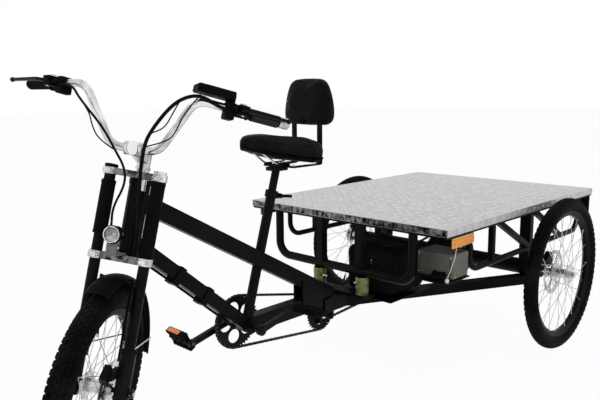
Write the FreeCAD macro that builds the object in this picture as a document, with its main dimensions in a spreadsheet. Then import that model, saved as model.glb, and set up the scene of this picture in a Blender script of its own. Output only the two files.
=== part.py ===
import FreeCAD, Part
import math
import os
import Sketcher
from types import SimpleNamespace
from FreeCAD import Placement, Rotation, Vector

# Flat-bed cargo tricycle with a turned front fork, one document object for each sub-part.
# X points forward, Y to the rider's left, Z up; the ground is Z = 0; millimetres and degrees.

# Driving dimensions
SIZES = {
    # wheels
    "rear_tyre_radius": 307.0,
    "rear_tyre_width": 54.0,
    "rear_rim_width": 30.0,
    "front_tyre_radius": 275.0,
    "front_tyre_width": 66.0,
    "front_rim_width": 40.0,
    "tyre_wall": 5.0,
    "rim_depth": 20.0,
    "rim_wall": 2.5,
    "spoke_radius": 1.0,
    "flange_radius": 38.0,
    "flange_thickness": 3.0,
    "flange_half_gap": 28.0,
    "hub_radius": 18.0,
    "half_track": 538.0,
    "rear_disc_radius": 90.0,
    "front_disc_radius": 80.0,
    "disc_thickness": 2.0,
    "disc_offset": 37.0,
    "rear_shaft_radius": 12.0,
    "front_axle_radius": 7.0,
    # steering and fork
    "head_angle": 75.1,
    "steer_rest": 37.0,
    "axis_ground_x": 1817.0,
    "fork_offset": 52.0,
    "leg_half": 69.0,
    "crown_gap": 228.0,
    "upper_crown_thickness": 18.0,
    "crown_clearance": 74.5,
    "lower_crown_thickness": 20.0,
    "crown_clamp_radius": 21.0,
    "crown_arm_width": 30.0,
    "steerer_radius": 15.0,
    "stanchion_radius": 15.0,
    "cover_radius": 19.0,
    "slider_radius": 21.0,
    "slider_top_reach": 378.0,
    "fork_travel": 30.0,
    "head_tube_radius": 29.0,
    "head_cup_radius": 31.0,
    "head_cup_height": 16.0,
    # handlebar and controls
    "bar_radius": 11.1,
    "bar_wall": 2.0,
    "stem_reach": 90.0,
    "stem_rise": 57.0,
    "grip_radius": 16.0,
    "grip_length": 118.0,
    "bar_end_length": 5.0,
    # front frame
    "beam_height": 50.0,
    "beam_width": 40.0,
    "tube_wall": 2.0,
    "beam_slope": 29.6,
    "beam_drop": 60.0,
    "down_tube_height": 40.0,
    "down_tube_width": 36.0,
    "down_tube_rise": 37.0,
    "crank_x": 1230.0,
    "crank_z": 288.0,
    "shell_radius": 22.0,
    "shell_half": 35.0,
    "seat_angle": 73.4,
    "seat_tube_radius": 16.5,
    "seat_tube_length": 452.0,
    "seat_post_radius": 13.5,
    "stay_height": 55.0,
    "stay_width": 40.0,
    # rear chassis
    "spine_front": 870.0,
    "spine_rear": 715.0,
    "spine_width": 60.0,
    "spine_height": 53.0,
    "chassis_low": 240.0,
    "bag_side": 200.0,
    "rail_height": 38.0,
    "rail_width": 40.0,
    "rail_spread": 395.0,
    "axle_tube_radius": 32.0,
    "wheel_inset": 83.0,
    "axle_post_y": 380.0,
    "post_width": 40.0,
    "buffer_radius": 24.5,
    "buffer_y": 106.0,
    "buffer_plate": 12.0,
    "washer": 4.0,
    # deck
    "deck_front": 768.0,
    "deck_rear": 457.0,
    "deck_half": 470.0,
    "deck_top": 597.0,
    "deck_sheet": 3.0,
    "deck_lip": 25.0,
    "frame_tube": 30.0,
    "truss_y": 440.0,
    "chord_radius": 11.0,
    "chord_height": 418.0,
    "chord_front": 575.0,
    "chord_rear": 375.0,
    "truss_bar": 20.0,
    "hoop_radius": 16.0,
    "hoop_half": 325.0,
    "hoop_height": 388.0,
    "hoop_post_y": 95.0,
    # drive
    "chain_pitch": 12.7,
    "ring_teeth": 44,
    "jack_teeth": 34,
    "drive_teeth": 24,
    "axle_teeth": 40,
    "jack_x": 817.0,
    "jack_z": 217.0,
    "chain_y": 45.0,
    "drive_chain_y": 60.0,
    "crank_length": 170.0,
    "crank_angle": -12.5,
    "crank_y": 68.0,
    "crank_thickness": 14.0,
    "pedal_length": 100.0,
    "pedal_width": 66.0,
    "pedal_height": 24.0,
    "pedal_axle_radius": 5.0,
    "spindle_radius": 8.0,
    "hanger_plate": 6.0,
    "hanger_inset": 14.0,
    # clearances
    "running_fit": 0.05,
    "side_play": 0.4,
}

doc = FreeCAD.newDocument("CargoTricycle")
sheet = doc.addObject("Spreadsheet::Sheet", "dims")
for row, (alias, number) in enumerate(SIZES.items(), start=1):
    sheet.set("A%d" % row, alias)
    sheet.set("B%d" % row, str(number))
    sheet.setAlias("B%d" % row, alias)
doc.recompute()
S = SimpleNamespace(**{alias: float(sheet.get(alias)) for alias in SIZES})

X, Y, Z = Vector(1, 0, 0), Vector(0, 1, 0), Vector(0, 0, 1)
NODES = {}


def ring_reach(radius, width, across):
    """Reach of a turned tyre along a direction; across is the axle's share of that direction."""
    crown = width / 2
    return (radius - crown) * math.sqrt(1 - across ** 2) + crown


# The steering axis and the turned front wheel
head = math.radians(S.head_angle)
turn = math.radians(S.steer_rest)
axle_lift = math.sin(turn) * math.cos(head)
axle_drift = math.sin(turn) * math.sin(head)
hub_height = ring_reach(S.front_tyre_radius, S.front_tyre_width, axle_lift)
hub_reach = (hub_height - S.fork_offset * math.cos(head) * math.cos(turn)) / math.sin(head)
lower_crown_reach = hub_reach + S.front_tyre_radius + S.crown_clearance
upper_crown_reach = lower_crown_reach + S.crown_gap
hub_x = S.axis_ground_x - hub_reach * math.cos(head) + S.fork_offset * math.sin(head) * math.cos(turn)
front_reach = hub_x + ring_reach(S.front_tyre_radius, S.front_tyre_width, axle_drift)
centre_x = (front_reach - S.deck_rear) / 2


def at(x, y, z):
    """Point given from the rear axle, moved to the frame's origin below the box centre."""
    return Vector(x - centre_x, y, z)


HEAD = Placement(at(S.axis_ground_x, 0, 0), Rotation(Y, S.head_angle - 90))
STEER = Placement(HEAD.Base, HEAD.Rotation * Rotation(Z, S.steer_rest))
LEFT, RIGHT = 1, -1
SIDES = {"left": LEFT, "right": RIGHT}


def cell(alias):
    """Expression for a cell of the sheet."""
    return "dims." + alias


def unit(vector):
    """Copy of a vector at length one."""
    return Vector(vector).normalize()


def aim(start, along, up=Z):
    """Placement whose local Z runs along a direction and whose local Y is close to up."""
    z = unit(along)
    x = unit(up.cross(z))
    return Placement(start, Rotation(x, z.cross(x), z, "ZYX"))


def put(obj, base):
    """Place an object made in a carrier's own frame."""
    obj.Placement = base.multiply(obj.Placement)
    return obj


def node(label, obj):
    """Register an object as a sub-part under its file name."""
    obj.Label = label
    NODES[label] = obj
    return obj


def primitive(kind, name, where, **sizes):
    """Part primitive whose sizes are numbers or expressions."""
    obj = doc.addObject("Part::" + kind, name)
    for prop, value in sizes.items():
        if isinstance(value, str):
            obj.setExpression(prop, value)
        else:
            setattr(obj, prop, value)
    obj.Placement = where
    return obj


def rod(name, start, end, radius):
    """Solid cylinder between two points."""
    along = end - start
    side = X if abs(unit(along).dot(Z)) > 0.99 else Z
    return primitive("Cylinder", name, aim(start, along, side), Radius=radius, Height=along.Length)


def block(name, low, high):
    """Box between two corners."""
    size = high - low
    where = Placement(low, Rotation())
    return primitive("Box", name, where, Length=size.x, Width=size.y, Height=size.z)


def join(kind, name, members):
    """Fuse or compound of several objects."""
    obj = doc.addObject("Part::" + kind, name)
    setattr(obj, "Links" if kind == "Compound" else "Shapes", members)
    return obj


def group(name, members):
    """Several solids of one sub-part."""
    return join("Compound", name, members)


def fuse(name, members):
    """One solid from several."""
    return join("MultiFuse", name, members)


def cut(name, base, *tools):
    """Base with every tool taken away."""
    for index, tool in enumerate(tools):
        step = doc.addObject("Part::Cut", "%s_cut%d" % (name, index))
        step.Base = base
        step.Tool = tool
        base = step
    return base


def shape(name, solid, where=Placement()):
    """Feature for a form made with Part's own functions."""
    obj = doc.addObject("Part::Feature", name)
    obj.Shape = solid
    obj.Placement = where
    return obj


def body_sketch(name, plane):
    """New body with a sketch on one of its own planes."""
    body = doc.addObject("PartDesign::Body", name)
    sketch = doc.addObject("Sketcher::SketchObject", name + "_sketch")
    body.addObject(sketch)
    planes = {"XY": 3, "XZ": 4, "YZ": 5}
    sketch.AttachmentSupport = [(body.Origin.OriginFeatures[planes[plane]], "")]
    sketch.MapMode = "FlatFace"
    return body, sketch


def draw_rectangle(sketch, tag, width, height):
    """Centred rectangle with its two sizes bound to expressions."""
    corners = [Vector(-9, -9), Vector(9, -9), Vector(9, 9), Vector(-9, 9)]
    first = sketch.GeometryCount
    for index in range(4):
        sketch.addGeometry(Part.LineSegment(corners[index], corners[(index + 1) % 4]), False)
    for index in range(4):
        after = first + (index + 1) % 4
        sketch.addConstraint(Sketcher.Constraint("Coincident", first + index, 2, after, 1))
        side = "Horizontal" if index % 2 == 0 else "Vertical"
        sketch.addConstraint(Sketcher.Constraint(side, first + index))
    sketch.addConstraint(Sketcher.Constraint("Symmetric", first, 1, first + 1, 2, -1, 1))
    for prop, edge, text in (("DistanceX", first, width), ("DistanceY", first + 1, height)):
        number = sketch.addConstraint(Sketcher.Constraint(prop, edge, 1, edge, 2, 18.0))
        sketch.renameConstraint(number, tag + prop)
        sketch.setExpression("Constraints." + tag + prop, text)


def draw_circle(sketch, tag, radius):
    """Centred circle with its radius bound to an expression."""
    edge = sketch.addGeometry(Part.Circle(Vector(), Z, 9.0), False)
    sketch.addConstraint(Sketcher.Constraint("Coincident", edge, 3, -1, 1))
    number = sketch.addConstraint(Sketcher.Constraint("Radius", edge, 9.0))
    sketch.renameConstraint(number, tag)
    sketch.setExpression("Constraints." + tag, radius)


def draw_loop(sketch, points):
    """Closed outline of straight edges."""
    count = len(points)
    for index in range(count):
        a, b = points[index], points[(index + 1) % count]
        sketch.addGeometry(Part.LineSegment(Vector(a[0], a[1]), Vector(b[0], b[1])), False)


def pad(body, sketch, length):
    """Pad of a body's sketch, of a number or an expression."""
    feature = doc.addObject("PartDesign::Pad", body.Name + "_pad")
    body.addObject(feature)
    feature.Profile = sketch
    if isinstance(length, str):
        feature.setExpression("Length", length)
    else:
        feature.Length = length
    body.Tip = feature
    return body


def box_tube(name, start, end, width, height, up=Z):
    """Rectangular tube between two points, with the frame's wall."""
    body, sketch = body_sketch(name, "XY")
    draw_rectangle(sketch, "outer", width, height)
    wall = " - 2 * " + cell("tube_wall")
    draw_rectangle(sketch, "inner", width + wall, height + wall)
    pad(body, sketch, (end - start).Length)
    body.Placement = aim(start, end - start, up)
    return body


def box_core(name, start, end, width, height, up=Z):
    """Solid with a rectangular tube's outside, for trimming its neighbours."""
    body, sketch = body_sketch(name, "XY")
    draw_rectangle(sketch, "outer", width, height)
    pad(body, sketch, (end - start).Length)
    body.Placement = aim(start, end - start, up)
    return body


def round_tube(name, start, end, radius, bore):
    """Round tube between two points."""
    body, sketch = body_sketch(name, "XY")
    draw_circle(sketch, "outer", radius)
    draw_circle(sketch, "bore", bore)
    pad(body, sketch, (end - start).Length)
    side = X if abs(unit(end - start).dot(Z)) > 0.99 else Z
    body.Placement = aim(start, end - start, side)
    return body


def plate(name, outline, thickness, where, plane="XY"):
    """Flat plate with a straight-edged outline."""
    body, sketch = body_sketch(name, plane)
    draw_loop(sketch, outline)
    pad(body, sketch, thickness)
    body.Placement = where
    return body


def turned(name, loops, where):
    """Solid of revolution about local Z from outlines of radius and height."""
    body, sketch = body_sketch(name, "XZ")
    for loop in loops:
        draw_loop(sketch, loop)
    feature = doc.addObject("PartDesign::Revolution", name + "_turn")
    body.addObject(feature)
    feature.Profile = sketch
    feature.ReferenceAxis = (sketch, ["V_Axis"])
    feature.Angle = 360.0
    body.Tip = feature
    body.Placement = where
    return body


def bent_path(points, bend):
    """Wire through points with its corners rounded to a bend radius."""
    edges = []
    last = points[0]
    for before, corner, after in zip(points, points[1:], points[2:]):
        u, v = unit(before - corner), unit(after - corner)
        half = u.getAngle(v) / 2
        reach = bend / math.tan(half)
        enter, leave = corner + u * reach, corner + v * reach
        middle = corner + unit(u + v) * (bend / math.sin(half) - bend)
        edges.append(Part.LineSegment(last, enter).toShape())
        edges.append(Part.Arc(enter, middle, leave).toShape())
        last = leave
    edges.append(Part.LineSegment(last, points[-1]).toShape())
    return Part.Wire(edges)


def pipe(points, bend, radius):
    """Round solid along a bent path."""
    path = bent_path(points, bend)
    circle = Part.Circle(points[0], points[1] - points[0], radius)
    return path.makePipeShell([Part.Wire(circle.toShape())], True, True)


def bent_tube(name, points, bend, radius, wall=0.0, where=Placement()):
    """Bent round tube, hollow where a wall is given."""
    solid = pipe(points, bend, radius)
    if wall:
        solid = solid.cut(pipe(points, bend, radius - wall))
    return shape(name, solid, where)


# Wheels: local Z runs along the axle, towards the outside on the rear wheels
def tyre(name, radius, width, rim_width, where):
    """Hollow tyre that sits on the rim's outer face."""
    body, sketch = body_sketch(name, "XZ")
    crown = width / 2
    middle = radius - crown
    seat = seat_radius(radius, width, rim_width)
    foot = bead_half(rim_width)
    lip = foot - S.tyre_wall
    necks = []
    for section, half in ((crown, foot), (crown - S.tyre_wall, lip)):
        open_angle = math.pi - math.asin(half / section)
        centre = Part.Circle(Vector(middle, 0), Z, section)
        sketch.addGeometry(Part.ArcOfCircle(centre, -open_angle, open_angle), False)
        necks.append(middle + section * math.cos(open_angle))
    for sign in (1, -1):
        corners = [Vector(seat, sign * foot), Vector(seat, sign * lip), Vector(necks[1], sign * lip)]
        for first, second in zip(corners, corners[1:]):
            sketch.addGeometry(Part.LineSegment(first, second), False)
    feature = doc.addObject("PartDesign::Revolution", name + "_turn")
    body.addObject(feature)
    feature.Profile = sketch
    feature.ReferenceAxis = (sketch, ["V_Axis"])
    feature.Angle = 360.0
    body.Tip = feature
    body.Placement = where
    return body


def bead_half(rim_width):
    """Half the width over a tyre's beads."""
    return rim_width / 2 - 2


def seat_radius(radius, width, rim_width):
    """Radius of the rim's outer face, where the tyre's flanks are the rim's width apart."""
    crown = width / 2
    return radius - crown - math.sqrt(crown ** 2 - bead_half(rim_width) ** 2)


def rim(name, seat, rim_width, where):
    """Hollow rim with sloped flanks."""
    outer, inner = rim_width / 2, rim_width / 4
    lip = 6.0
    low = seat - S.rim_depth
    outside = [(seat, -outer), (seat, outer), (seat - lip, outer), (low, inner),
               (low, -inner), (seat - lip, -outer)]
    wall = S.rim_wall
    inside = [(seat - wall, wall - outer), (seat - wall, outer - wall), (seat - lip, outer - wall),
              (low + wall, inner - wall / 2), (low + wall, wall / 2 - inner), (seat - lip, wall - outer)]
    return turned(name, [outside, inside], where)


def spokes(name, seat, where):
    """Thirty-six crossed spokes from the hub flanges to the rim."""
    per_kind = 9
    pitch = 360.0 / per_kind
    cross = 60.0
    stand_off, rim_split, rim_half = 1.9, 1.7, 4.0
    gap = 0.25
    near, far = S.flange_radius + gap, seat - S.rim_depth - gap
    rods = []
    for side, shift in ((1, 0.0), (-1, pitch / 4)):
        for lean, start in ((1, 0.0), (-1, pitch / 2)):
            for number in range(per_kind):
                a = math.radians(shift + start + number * pitch)
                b = a + lean * math.radians(cross)
                hub_end = Vector(near * math.cos(a), near * math.sin(a),
                                 side * (S.flange_half_gap + lean * stand_off))
                rim_end = Vector(far * math.cos(b), far * math.sin(b), side * (rim_half + lean * rim_split))
                along = rim_end - hub_end
                rods.append(Part.makeCylinder(S.spoke_radius, along.Length, hub_end, along))
    return shape(name, Part.makeCompound(rods), where)


def disc(name, radius, height, where):
    """Brake disc with six windows between its arms."""
    windows = 6
    neck, band = 34.0, 16.0
    arm = math.radians(9)
    solid = Part.makeCylinder(radius, S.disc_thickness, Vector(0, 0, height))
    solid = solid.cut(Part.makeCylinder(S.hub_radius - 3, S.disc_thickness, Vector(0, 0, height)))
    for number in range(windows):
        start = 2 * math.pi * number / windows + arm
        end = 2 * math.pi * (number + 1) / windows - arm
        mid = (start + end) / 2
        inner, outer = neck, radius - band

        def spot(r, angle):
            return Vector(r * math.cos(angle), r * math.sin(angle), height)
        edges = [Part.Arc(spot(outer, start), spot(outer, mid), spot(outer, end)).toShape(),
                 Part.LineSegment(spot(outer, end), spot(inner, end)).toShape(),
                 Part.Arc(spot(inner, end), spot(inner, mid), spot(inner, start)).toShape(),
                 Part.LineSegment(spot(inner, start), spot(outer, start)).toShape()]
        window = Part.Face(Part.Wire(edges)).extrude(Vector(0, 0, S.disc_thickness))
        solid = solid.cut(window)
    return shape(name, solid, where)


def hub(name, bore, low, high, where):
    """Hub shell with two spoke flanges and a neck for the disc."""
    neck = S.hub_radius - 3
    face, back = S.flange_half_gap + S.flange_thickness / 2, S.flange_half_gap - S.flange_thickness / 2
    edge = S.flange_radius
    profile = [(bore, low), (neck, low), (neck, -face), (edge, -face), (edge, -back),
               (S.hub_radius, -back), (S.hub_radius, back), (edge, back), (edge, face),
               (neck, face), (neck, high), (bore, high)]
    return turned(name, [profile], where)


def build_wheels():
    """Front wheel on its axle and two rear wheels on half shafts."""
    front = STEER.multiply(Placement(Vector(S.fork_offset, 0, hub_reach), Rotation(X, -90)))
    seat = seat_radius(S.front_tyre_radius, S.front_tyre_width, S.front_rim_width)
    node("front_tyre", tyre("ft", S.front_tyre_radius, S.front_tyre_width, S.front_rim_width, front))
    node("front_rim", rim("fr", seat, S.front_rim_width, front))
    half = S.leg_half - S.slider_radius - 4
    node("front_hub", group("front_hub_set", [
        hub("fh", S.front_axle_radius + S.running_fit, -half, half, front),
        disc("fd", S.front_disc_radius, S.disc_offset - S.disc_thickness, front),
        spokes("fs", seat, front)]))
    seat = seat_radius(S.rear_tyre_radius, S.rear_tyre_width, S.rear_rim_width)
    inner = S.wheel_inset + 30
    for side, sign in SIDES.items():
        where = Placement(at(0, sign * S.half_track, S.rear_tyre_radius), Rotation(X, -90 * sign))
        tag = "r" + side
        node("rear_tyre_" + side,
             tyre(tag + "t", S.rear_tyre_radius, S.rear_tyre_width, S.rear_rim_width, where))
        node("rear_rim_" + side, rim(tag + "r", seat, S.rear_rim_width, where))
        shaft = rod(tag + "s", Vector(0, 0, -inner), Vector(0, 0, S.disc_offset + 14), cell("rear_shaft_radius"))
        node("rear_hub_" + side, group(tag + "hub", [
            hub(tag + "h", S.rear_shaft_radius, -S.disc_offset - 6, S.disc_offset, where),
            disc(tag + "d", S.rear_disc_radius, -S.disc_offset, where),
            spokes(tag + "k", seat, where), put(shaft, where)]))


def axle_tube_half():
    """Half length of the axle tube, which ends short of the wheels."""
    return S.half_track - S.wheel_inset


def stem_height():
    """Height of the handlebar's clamp up the steering axis, above the upper crown."""
    return upper_crown_reach + S.upper_crown_thickness / 2 + S.stem_rise


def seat_line(length):
    """Point on the seat tube's axis, measured up from the crank."""
    angle = math.radians(S.seat_angle)
    return at(S.crank_x - length * math.cos(angle), 0, S.crank_z + length * math.sin(angle))


def head_line(reach):
    """Point on the steering axis, measured up from the ground."""
    return HEAD.multVec(Vector(0, 0, reach))


def down_tube_top():
    """Upper end of the down tube, on the steering axis above the lower crown."""
    return head_line(lower_crown_reach + S.lower_crown_thickness / 2 + S.down_tube_rise)


def build_front_frame():
    """Head tube, sloping beam, down tube, seat tube with crank shell, stay and gussets."""
    play = S.side_play
    low = lower_crown_reach + S.lower_crown_thickness / 2 + play
    high = upper_crown_reach - S.upper_crown_thickness / 2 - play
    tube_low, tube_high = low + S.head_cup_height, high - S.head_cup_height
    fit = cell("steerer_radius") + " + " + cell("running_fit")
    node("head_tube", group("head_set", [
        round_tube("head_pipe", head_line(tube_low), head_line(tube_high), cell("head_tube_radius"),
                   cell("head_tube_radius") + " - 3"),
        round_tube("cup_low", head_line(low), head_line(tube_low), cell("head_cup_radius"), fit),
        round_tube("cup_high", head_line(tube_high), head_line(high), cell("head_cup_radius"), fit)]))
    crank = at(S.crank_x, 0, S.crank_z)
    slope = math.radians(S.beam_slope)
    beam_start = head_line(upper_crown_reach - S.upper_crown_thickness / 2 - S.beam_drop)
    beam_run = (beam_start.x - at(S.spine_front - 45, 0, 0).x) / math.cos(slope)
    beam_end = beam_start - Vector(math.cos(slope), 0, math.sin(slope)) * beam_run
    beam_size = (cell("beam_width"), cell("beam_height"))
    head_core = rod("head_core", head_line(tube_low - 20), head_line(tube_high + 20), cell("head_tube_radius"))
    cup_core = rod("cup_core", head_line(low), head_line(tube_low), cell("head_cup_radius"))
    seat_core = rod("seat_core", crank, seat_line(S.seat_tube_length), cell("seat_tube_radius"))
    spine_high = S.chassis_low + S.spine_height
    spine_core = block("spine_core", at(S.spine_rear, -S.spine_width / 2, S.chassis_low),
                       at(S.spine_front, S.spine_width / 2, spine_high))
    beam = box_tube("beam", beam_start, beam_end, *beam_size)
    node("main_beam", cut("beam", beam, head_core, seat_core, spine_core))
    shell_core = rod("shell_core", crank - Y * S.shell_half, crank + Y * S.shell_half, cell("shell_radius"))
    down = box_tube("down", down_tube_top(), crank, cell("down_tube_width"),
                    cell("down_tube_height"))
    node("down_tube", cut("down", down, head_core, cup_core, shell_core, seat_core))
    post_fit = cell("seat_post_radius") + " + " + cell("running_fit")
    seat_pipe = round_tube("seat_pipe", crank, seat_line(S.seat_tube_length), cell("seat_tube_radius"), post_fit)
    shell = round_tube("shell", crank - Y * S.shell_half, crank + Y * S.shell_half, cell("shell_radius"),
                       cell("spindle_radius") + " + " + cell("running_fit"))
    node("seat_tube", group("seat_set", [cut("seat_pipe", seat_pipe, shell_core), shell]))
    beam_core = box_core("beam_core", beam_start, beam_end, *beam_size)
    stay = box_tube("stay", crank, at(S.spine_front, 0, S.crank_z), cell("stay_width"), cell("stay_height"))
    gusset_front = S.spine_front + 110
    base = S.crank_z - S.stay_height / 2 + 4
    outline = [(gusset_front, base), (gusset_front, base + 122), (S.spine_front, base + 64),
               (S.spine_front, base)]
    outline = [(x - centre_x, z) for x, z in outline]
    thick = 4.0
    gussets = [plate("gusset_" + side, outline, thick,
                     Placement(Vector(0, sign * (S.beam_width / 2) + (thick if sign > 0 else 0), 0), Rotation()),
                     "XZ") for side, sign in SIDES.items()]
    node("chain_stay", group("stay_set", [cut("stay", stay, shell_core, seat_core, beam_core)] + gussets))
    ring_top = seat_line(S.seat_tube_length)
    ring_low = seat_line(S.seat_tube_length - 24)
    collar_radius = S.seat_tube_radius + 5
    along = unit(ring_top - ring_low)
    ears_at = aim(seat_line(S.seat_tube_length - 12), X + along * X.dot(along) * -1, along)
    ring = rod("collar_ring", ring_low, ring_top, collar_radius)
    ears = primitive("Box", "collar_ears", ears_at.multiply(Placement(Vector(-9, -9, -36), Rotation())),
                     Length=18, Width=18, Height=20)
    solid = fuse("collar_body", [ring, ears])
    bolt_at = ears_at.multVec(Vector(0, 0, -29))
    ear, bolt_radius, eye_length = 9.0, 3.0, 10.0
    eye_low = ear + S.side_play
    eye_high = eye_low + eye_length + S.side_play
    bolt_hole = rod("collar_hole", bolt_at - Y * 12, bolt_at + Y * 12, bolt_radius)
    bolt = fuse("collar_bolt", [rod("bolt_rod", bolt_at - Y * ear, bolt_at + Y * eye_high, bolt_radius),
                                rod("bolt_cap", bolt_at + Y * eye_high, bolt_at + Y * (eye_high + 4), 6.0)])
    tube_top = rod("collar_bore", crank, seat_line(S.seat_tube_length + 1), cell("seat_tube_radius"))
    node("seat_collar", group("collar_set", [cut("collar", solid, tube_top, bolt_hole), bolt]))
    eye = rod("lever_eye", bolt_at + Y * eye_low, bolt_at + Y * (eye_low + eye_length), 8.0)
    reach = unit(X * -1 - along * 0.15)
    arm_at = aim(bolt_at + Y * (eye_low + eye_length / 2), reach, along)
    arm = primitive("Box", "lever_arm", arm_at.multiply(Placement(Vector(-4, -5, 0), Rotation())),
                    Length=8, Width=10, Height=52)
    bore = rod("lever_bore", bolt_at, bolt_at + Y * 40, bolt_radius + S.running_fit)
    node("seat_lever", cut("lever", fuse("lever_solid", [eye, arm]), bore))


def build_chassis():
    """Spine, splayed rails, axle tube, buffer plate, buffers and equipment tray."""
    low, high = S.chassis_low, S.chassis_low + S.spine_height
    rail_mid = low + S.rail_height / 2
    half = S.spine_width / 2
    axle = at(0, 0, S.rear_tyre_radius)
    axle_core = rod("axle_core", axle - Y * axle_tube_half(), axle + Y * axle_tube_half(), cell("axle_tube_radius"))
    spine = box_tube("spine", at(S.spine_front, 0, (low + high) / 2), at(S.spine_rear, 0, (low + high) / 2),
                     cell("spine_width"), cell("spine_height"))
    core = block("spine_trim", at(S.spine_rear, -half, low), at(S.spine_front, half, high))
    members = [spine]
    for side, sign in SIDES.items():
        start = at(S.spine_rear + 50, 0, rail_mid)
        end = at(0, sign * S.rail_spread, rail_mid)
        rail = box_tube("rail_" + side, start, end, cell("rail_width"), cell("rail_height"))
        beyond = block("rail_trim_" + side, at(S.spine_rear - 40, -sign * 200, low - 5),
                       at(S.spine_front, 0, high + 5)) if sign > 0 else block(
            "rail_trim_" + side, at(S.spine_rear - 40, 0, low - 5), at(S.spine_front, 200, high + 5))
        members.append(cut("rail_" + side, rail, core, beyond, axle_core))
    hoop_x = hoop_line_x()
    plate_half = S.buffer_y + 34
    members.append(block("buffer_bar", at(hoop_x - 28, -plate_half, high),
                         at(hoop_x + 28, plate_half, high + S.buffer_plate)))
    tray_low = low + S.rail_height
    members.append(block("tray", at(440, -36, tray_low), at(S.spine_rear - 5, S.bag_side + 6, tray_low + 4)))
    node("rear_chassis", group("chassis_set", members + jackshaft_hangers()))
    bore = cell("rear_shaft_radius") + " + " + cell("running_fit")
    tube = [round_tube("axle_pipe", axle - Y * (axle_tube_half() - 16), axle + Y * (axle_tube_half() - 16),
                       cell("axle_tube_radius"), cell("axle_tube_radius") + " - 4")]
    post_high = S.deck_top - S.deck_sheet - S.frame_tube
    for side, sign in SIDES.items():
        tube.append(round_tube("bearing_" + side, axle + Y * sign * (axle_tube_half() - 16),
                               axle + Y * sign * axle_tube_half(), cell("axle_tube_radius"), bore))
        foot = at(0, sign * S.axle_post_y, S.rear_tyre_radius)
        post = box_tube("axle_post_" + side, foot, Vector(foot.x, foot.y, post_high), cell("post_width"),
                        cell("post_width"), X)
        tube.append(cut("axle_post_" + side, post, axle_core))
        tube.append(caliper("rear_caliper_" + side, sign))
    node("axle_housing", group("axle_set", tube))
    buffers, washers = [], []
    seat = high + S.buffer_plate
    top = S.hoop_height - S.hoop_radius
    for side, sign in SIDES.items():
        foot = at(hoop_x, sign * S.buffer_y, seat)
        rest = Vector(foot.x, foot.y, top - S.washer)
        buffers.append(rod("buffer_" + side, foot, rest, cell("buffer_radius")))
        washers.append(rod("washer_" + side, rest, Vector(foot.x, foot.y, top), cell("buffer_radius") + " - 3"))
    node("buffers", group("buffer_set", buffers))
    return washers


def jackshaft_hangers():
    """Two slim plates on the spine, one at its side and one below it, with the jackshaft's bearings."""
    jack = at(S.jack_x, 0, S.jack_z)
    low, foot, half = S.chassis_low, S.jack_z - 15, 13
    plates = []
    for side, face, top in (("right", -S.spine_width / 2, low + 42), ("left", S.hanger_inset, low)):
        outline = [(jack.x - half, top), (jack.x + half, top), (jack.x + half, foot + 6), (jack.x + 7, foot),
                   (jack.x - 7, foot), (jack.x - half, foot + 6)]
        blank = plate("hanger_" + side, outline, cell("hanger_plate"), Placement(Y * face, Rotation()), "XZ")
        hole = rod("hanger_bore_" + side, jack - Y * 60, jack + Y * 60,
                   cell("spindle_radius") + " + " + cell("running_fit"))
        plates.append(cut("hanger_" + side, blank, hole))
    return plates


def caliper(name, sign):
    """Rear brake caliper astride its disc, on a bracket from the axle tube's end."""
    disc_y = S.half_track - S.disc_offset
    low, high = disc_y - 13, disc_y + 9
    reach = S.rear_disc_radius
    where = Placement(at(0, 0, S.rear_tyre_radius), Rotation(Y, -50))
    solid = Part.makeBox(44, high - low, 46, Vector(reach - 30, low, -23))
    slot = Part.makeBox(44, S.disc_thickness + 2.4, 60, Vector(reach - 42, disc_y - 1.2, -30))
    arm = Part.makeBox(reach - 20, 6, 30, Vector(0, axle_tube_half(), -15))
    post = Part.makeBox(30, low - axle_tube_half(), 30, Vector(reach - 30, axle_tube_half(), -15))
    hole = Part.makeCylinder(S.rear_shaft_radius + 8, 60, Vector(0, axle_tube_half() - 20, 0), Y)
    solid = solid.cut(slot).fuse(arm.cut(hole)).fuse(post).removeSplitter()
    if sign < 0:
        solid = solid.mirror(Vector(), Y)
    return shape(name, solid, where)


def hoop_line_x():
    """Station of the hoop and the buffers, below the deck frame's front bar."""
    return S.deck_front - S.deck_sheet - S.frame_tube / 2


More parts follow.
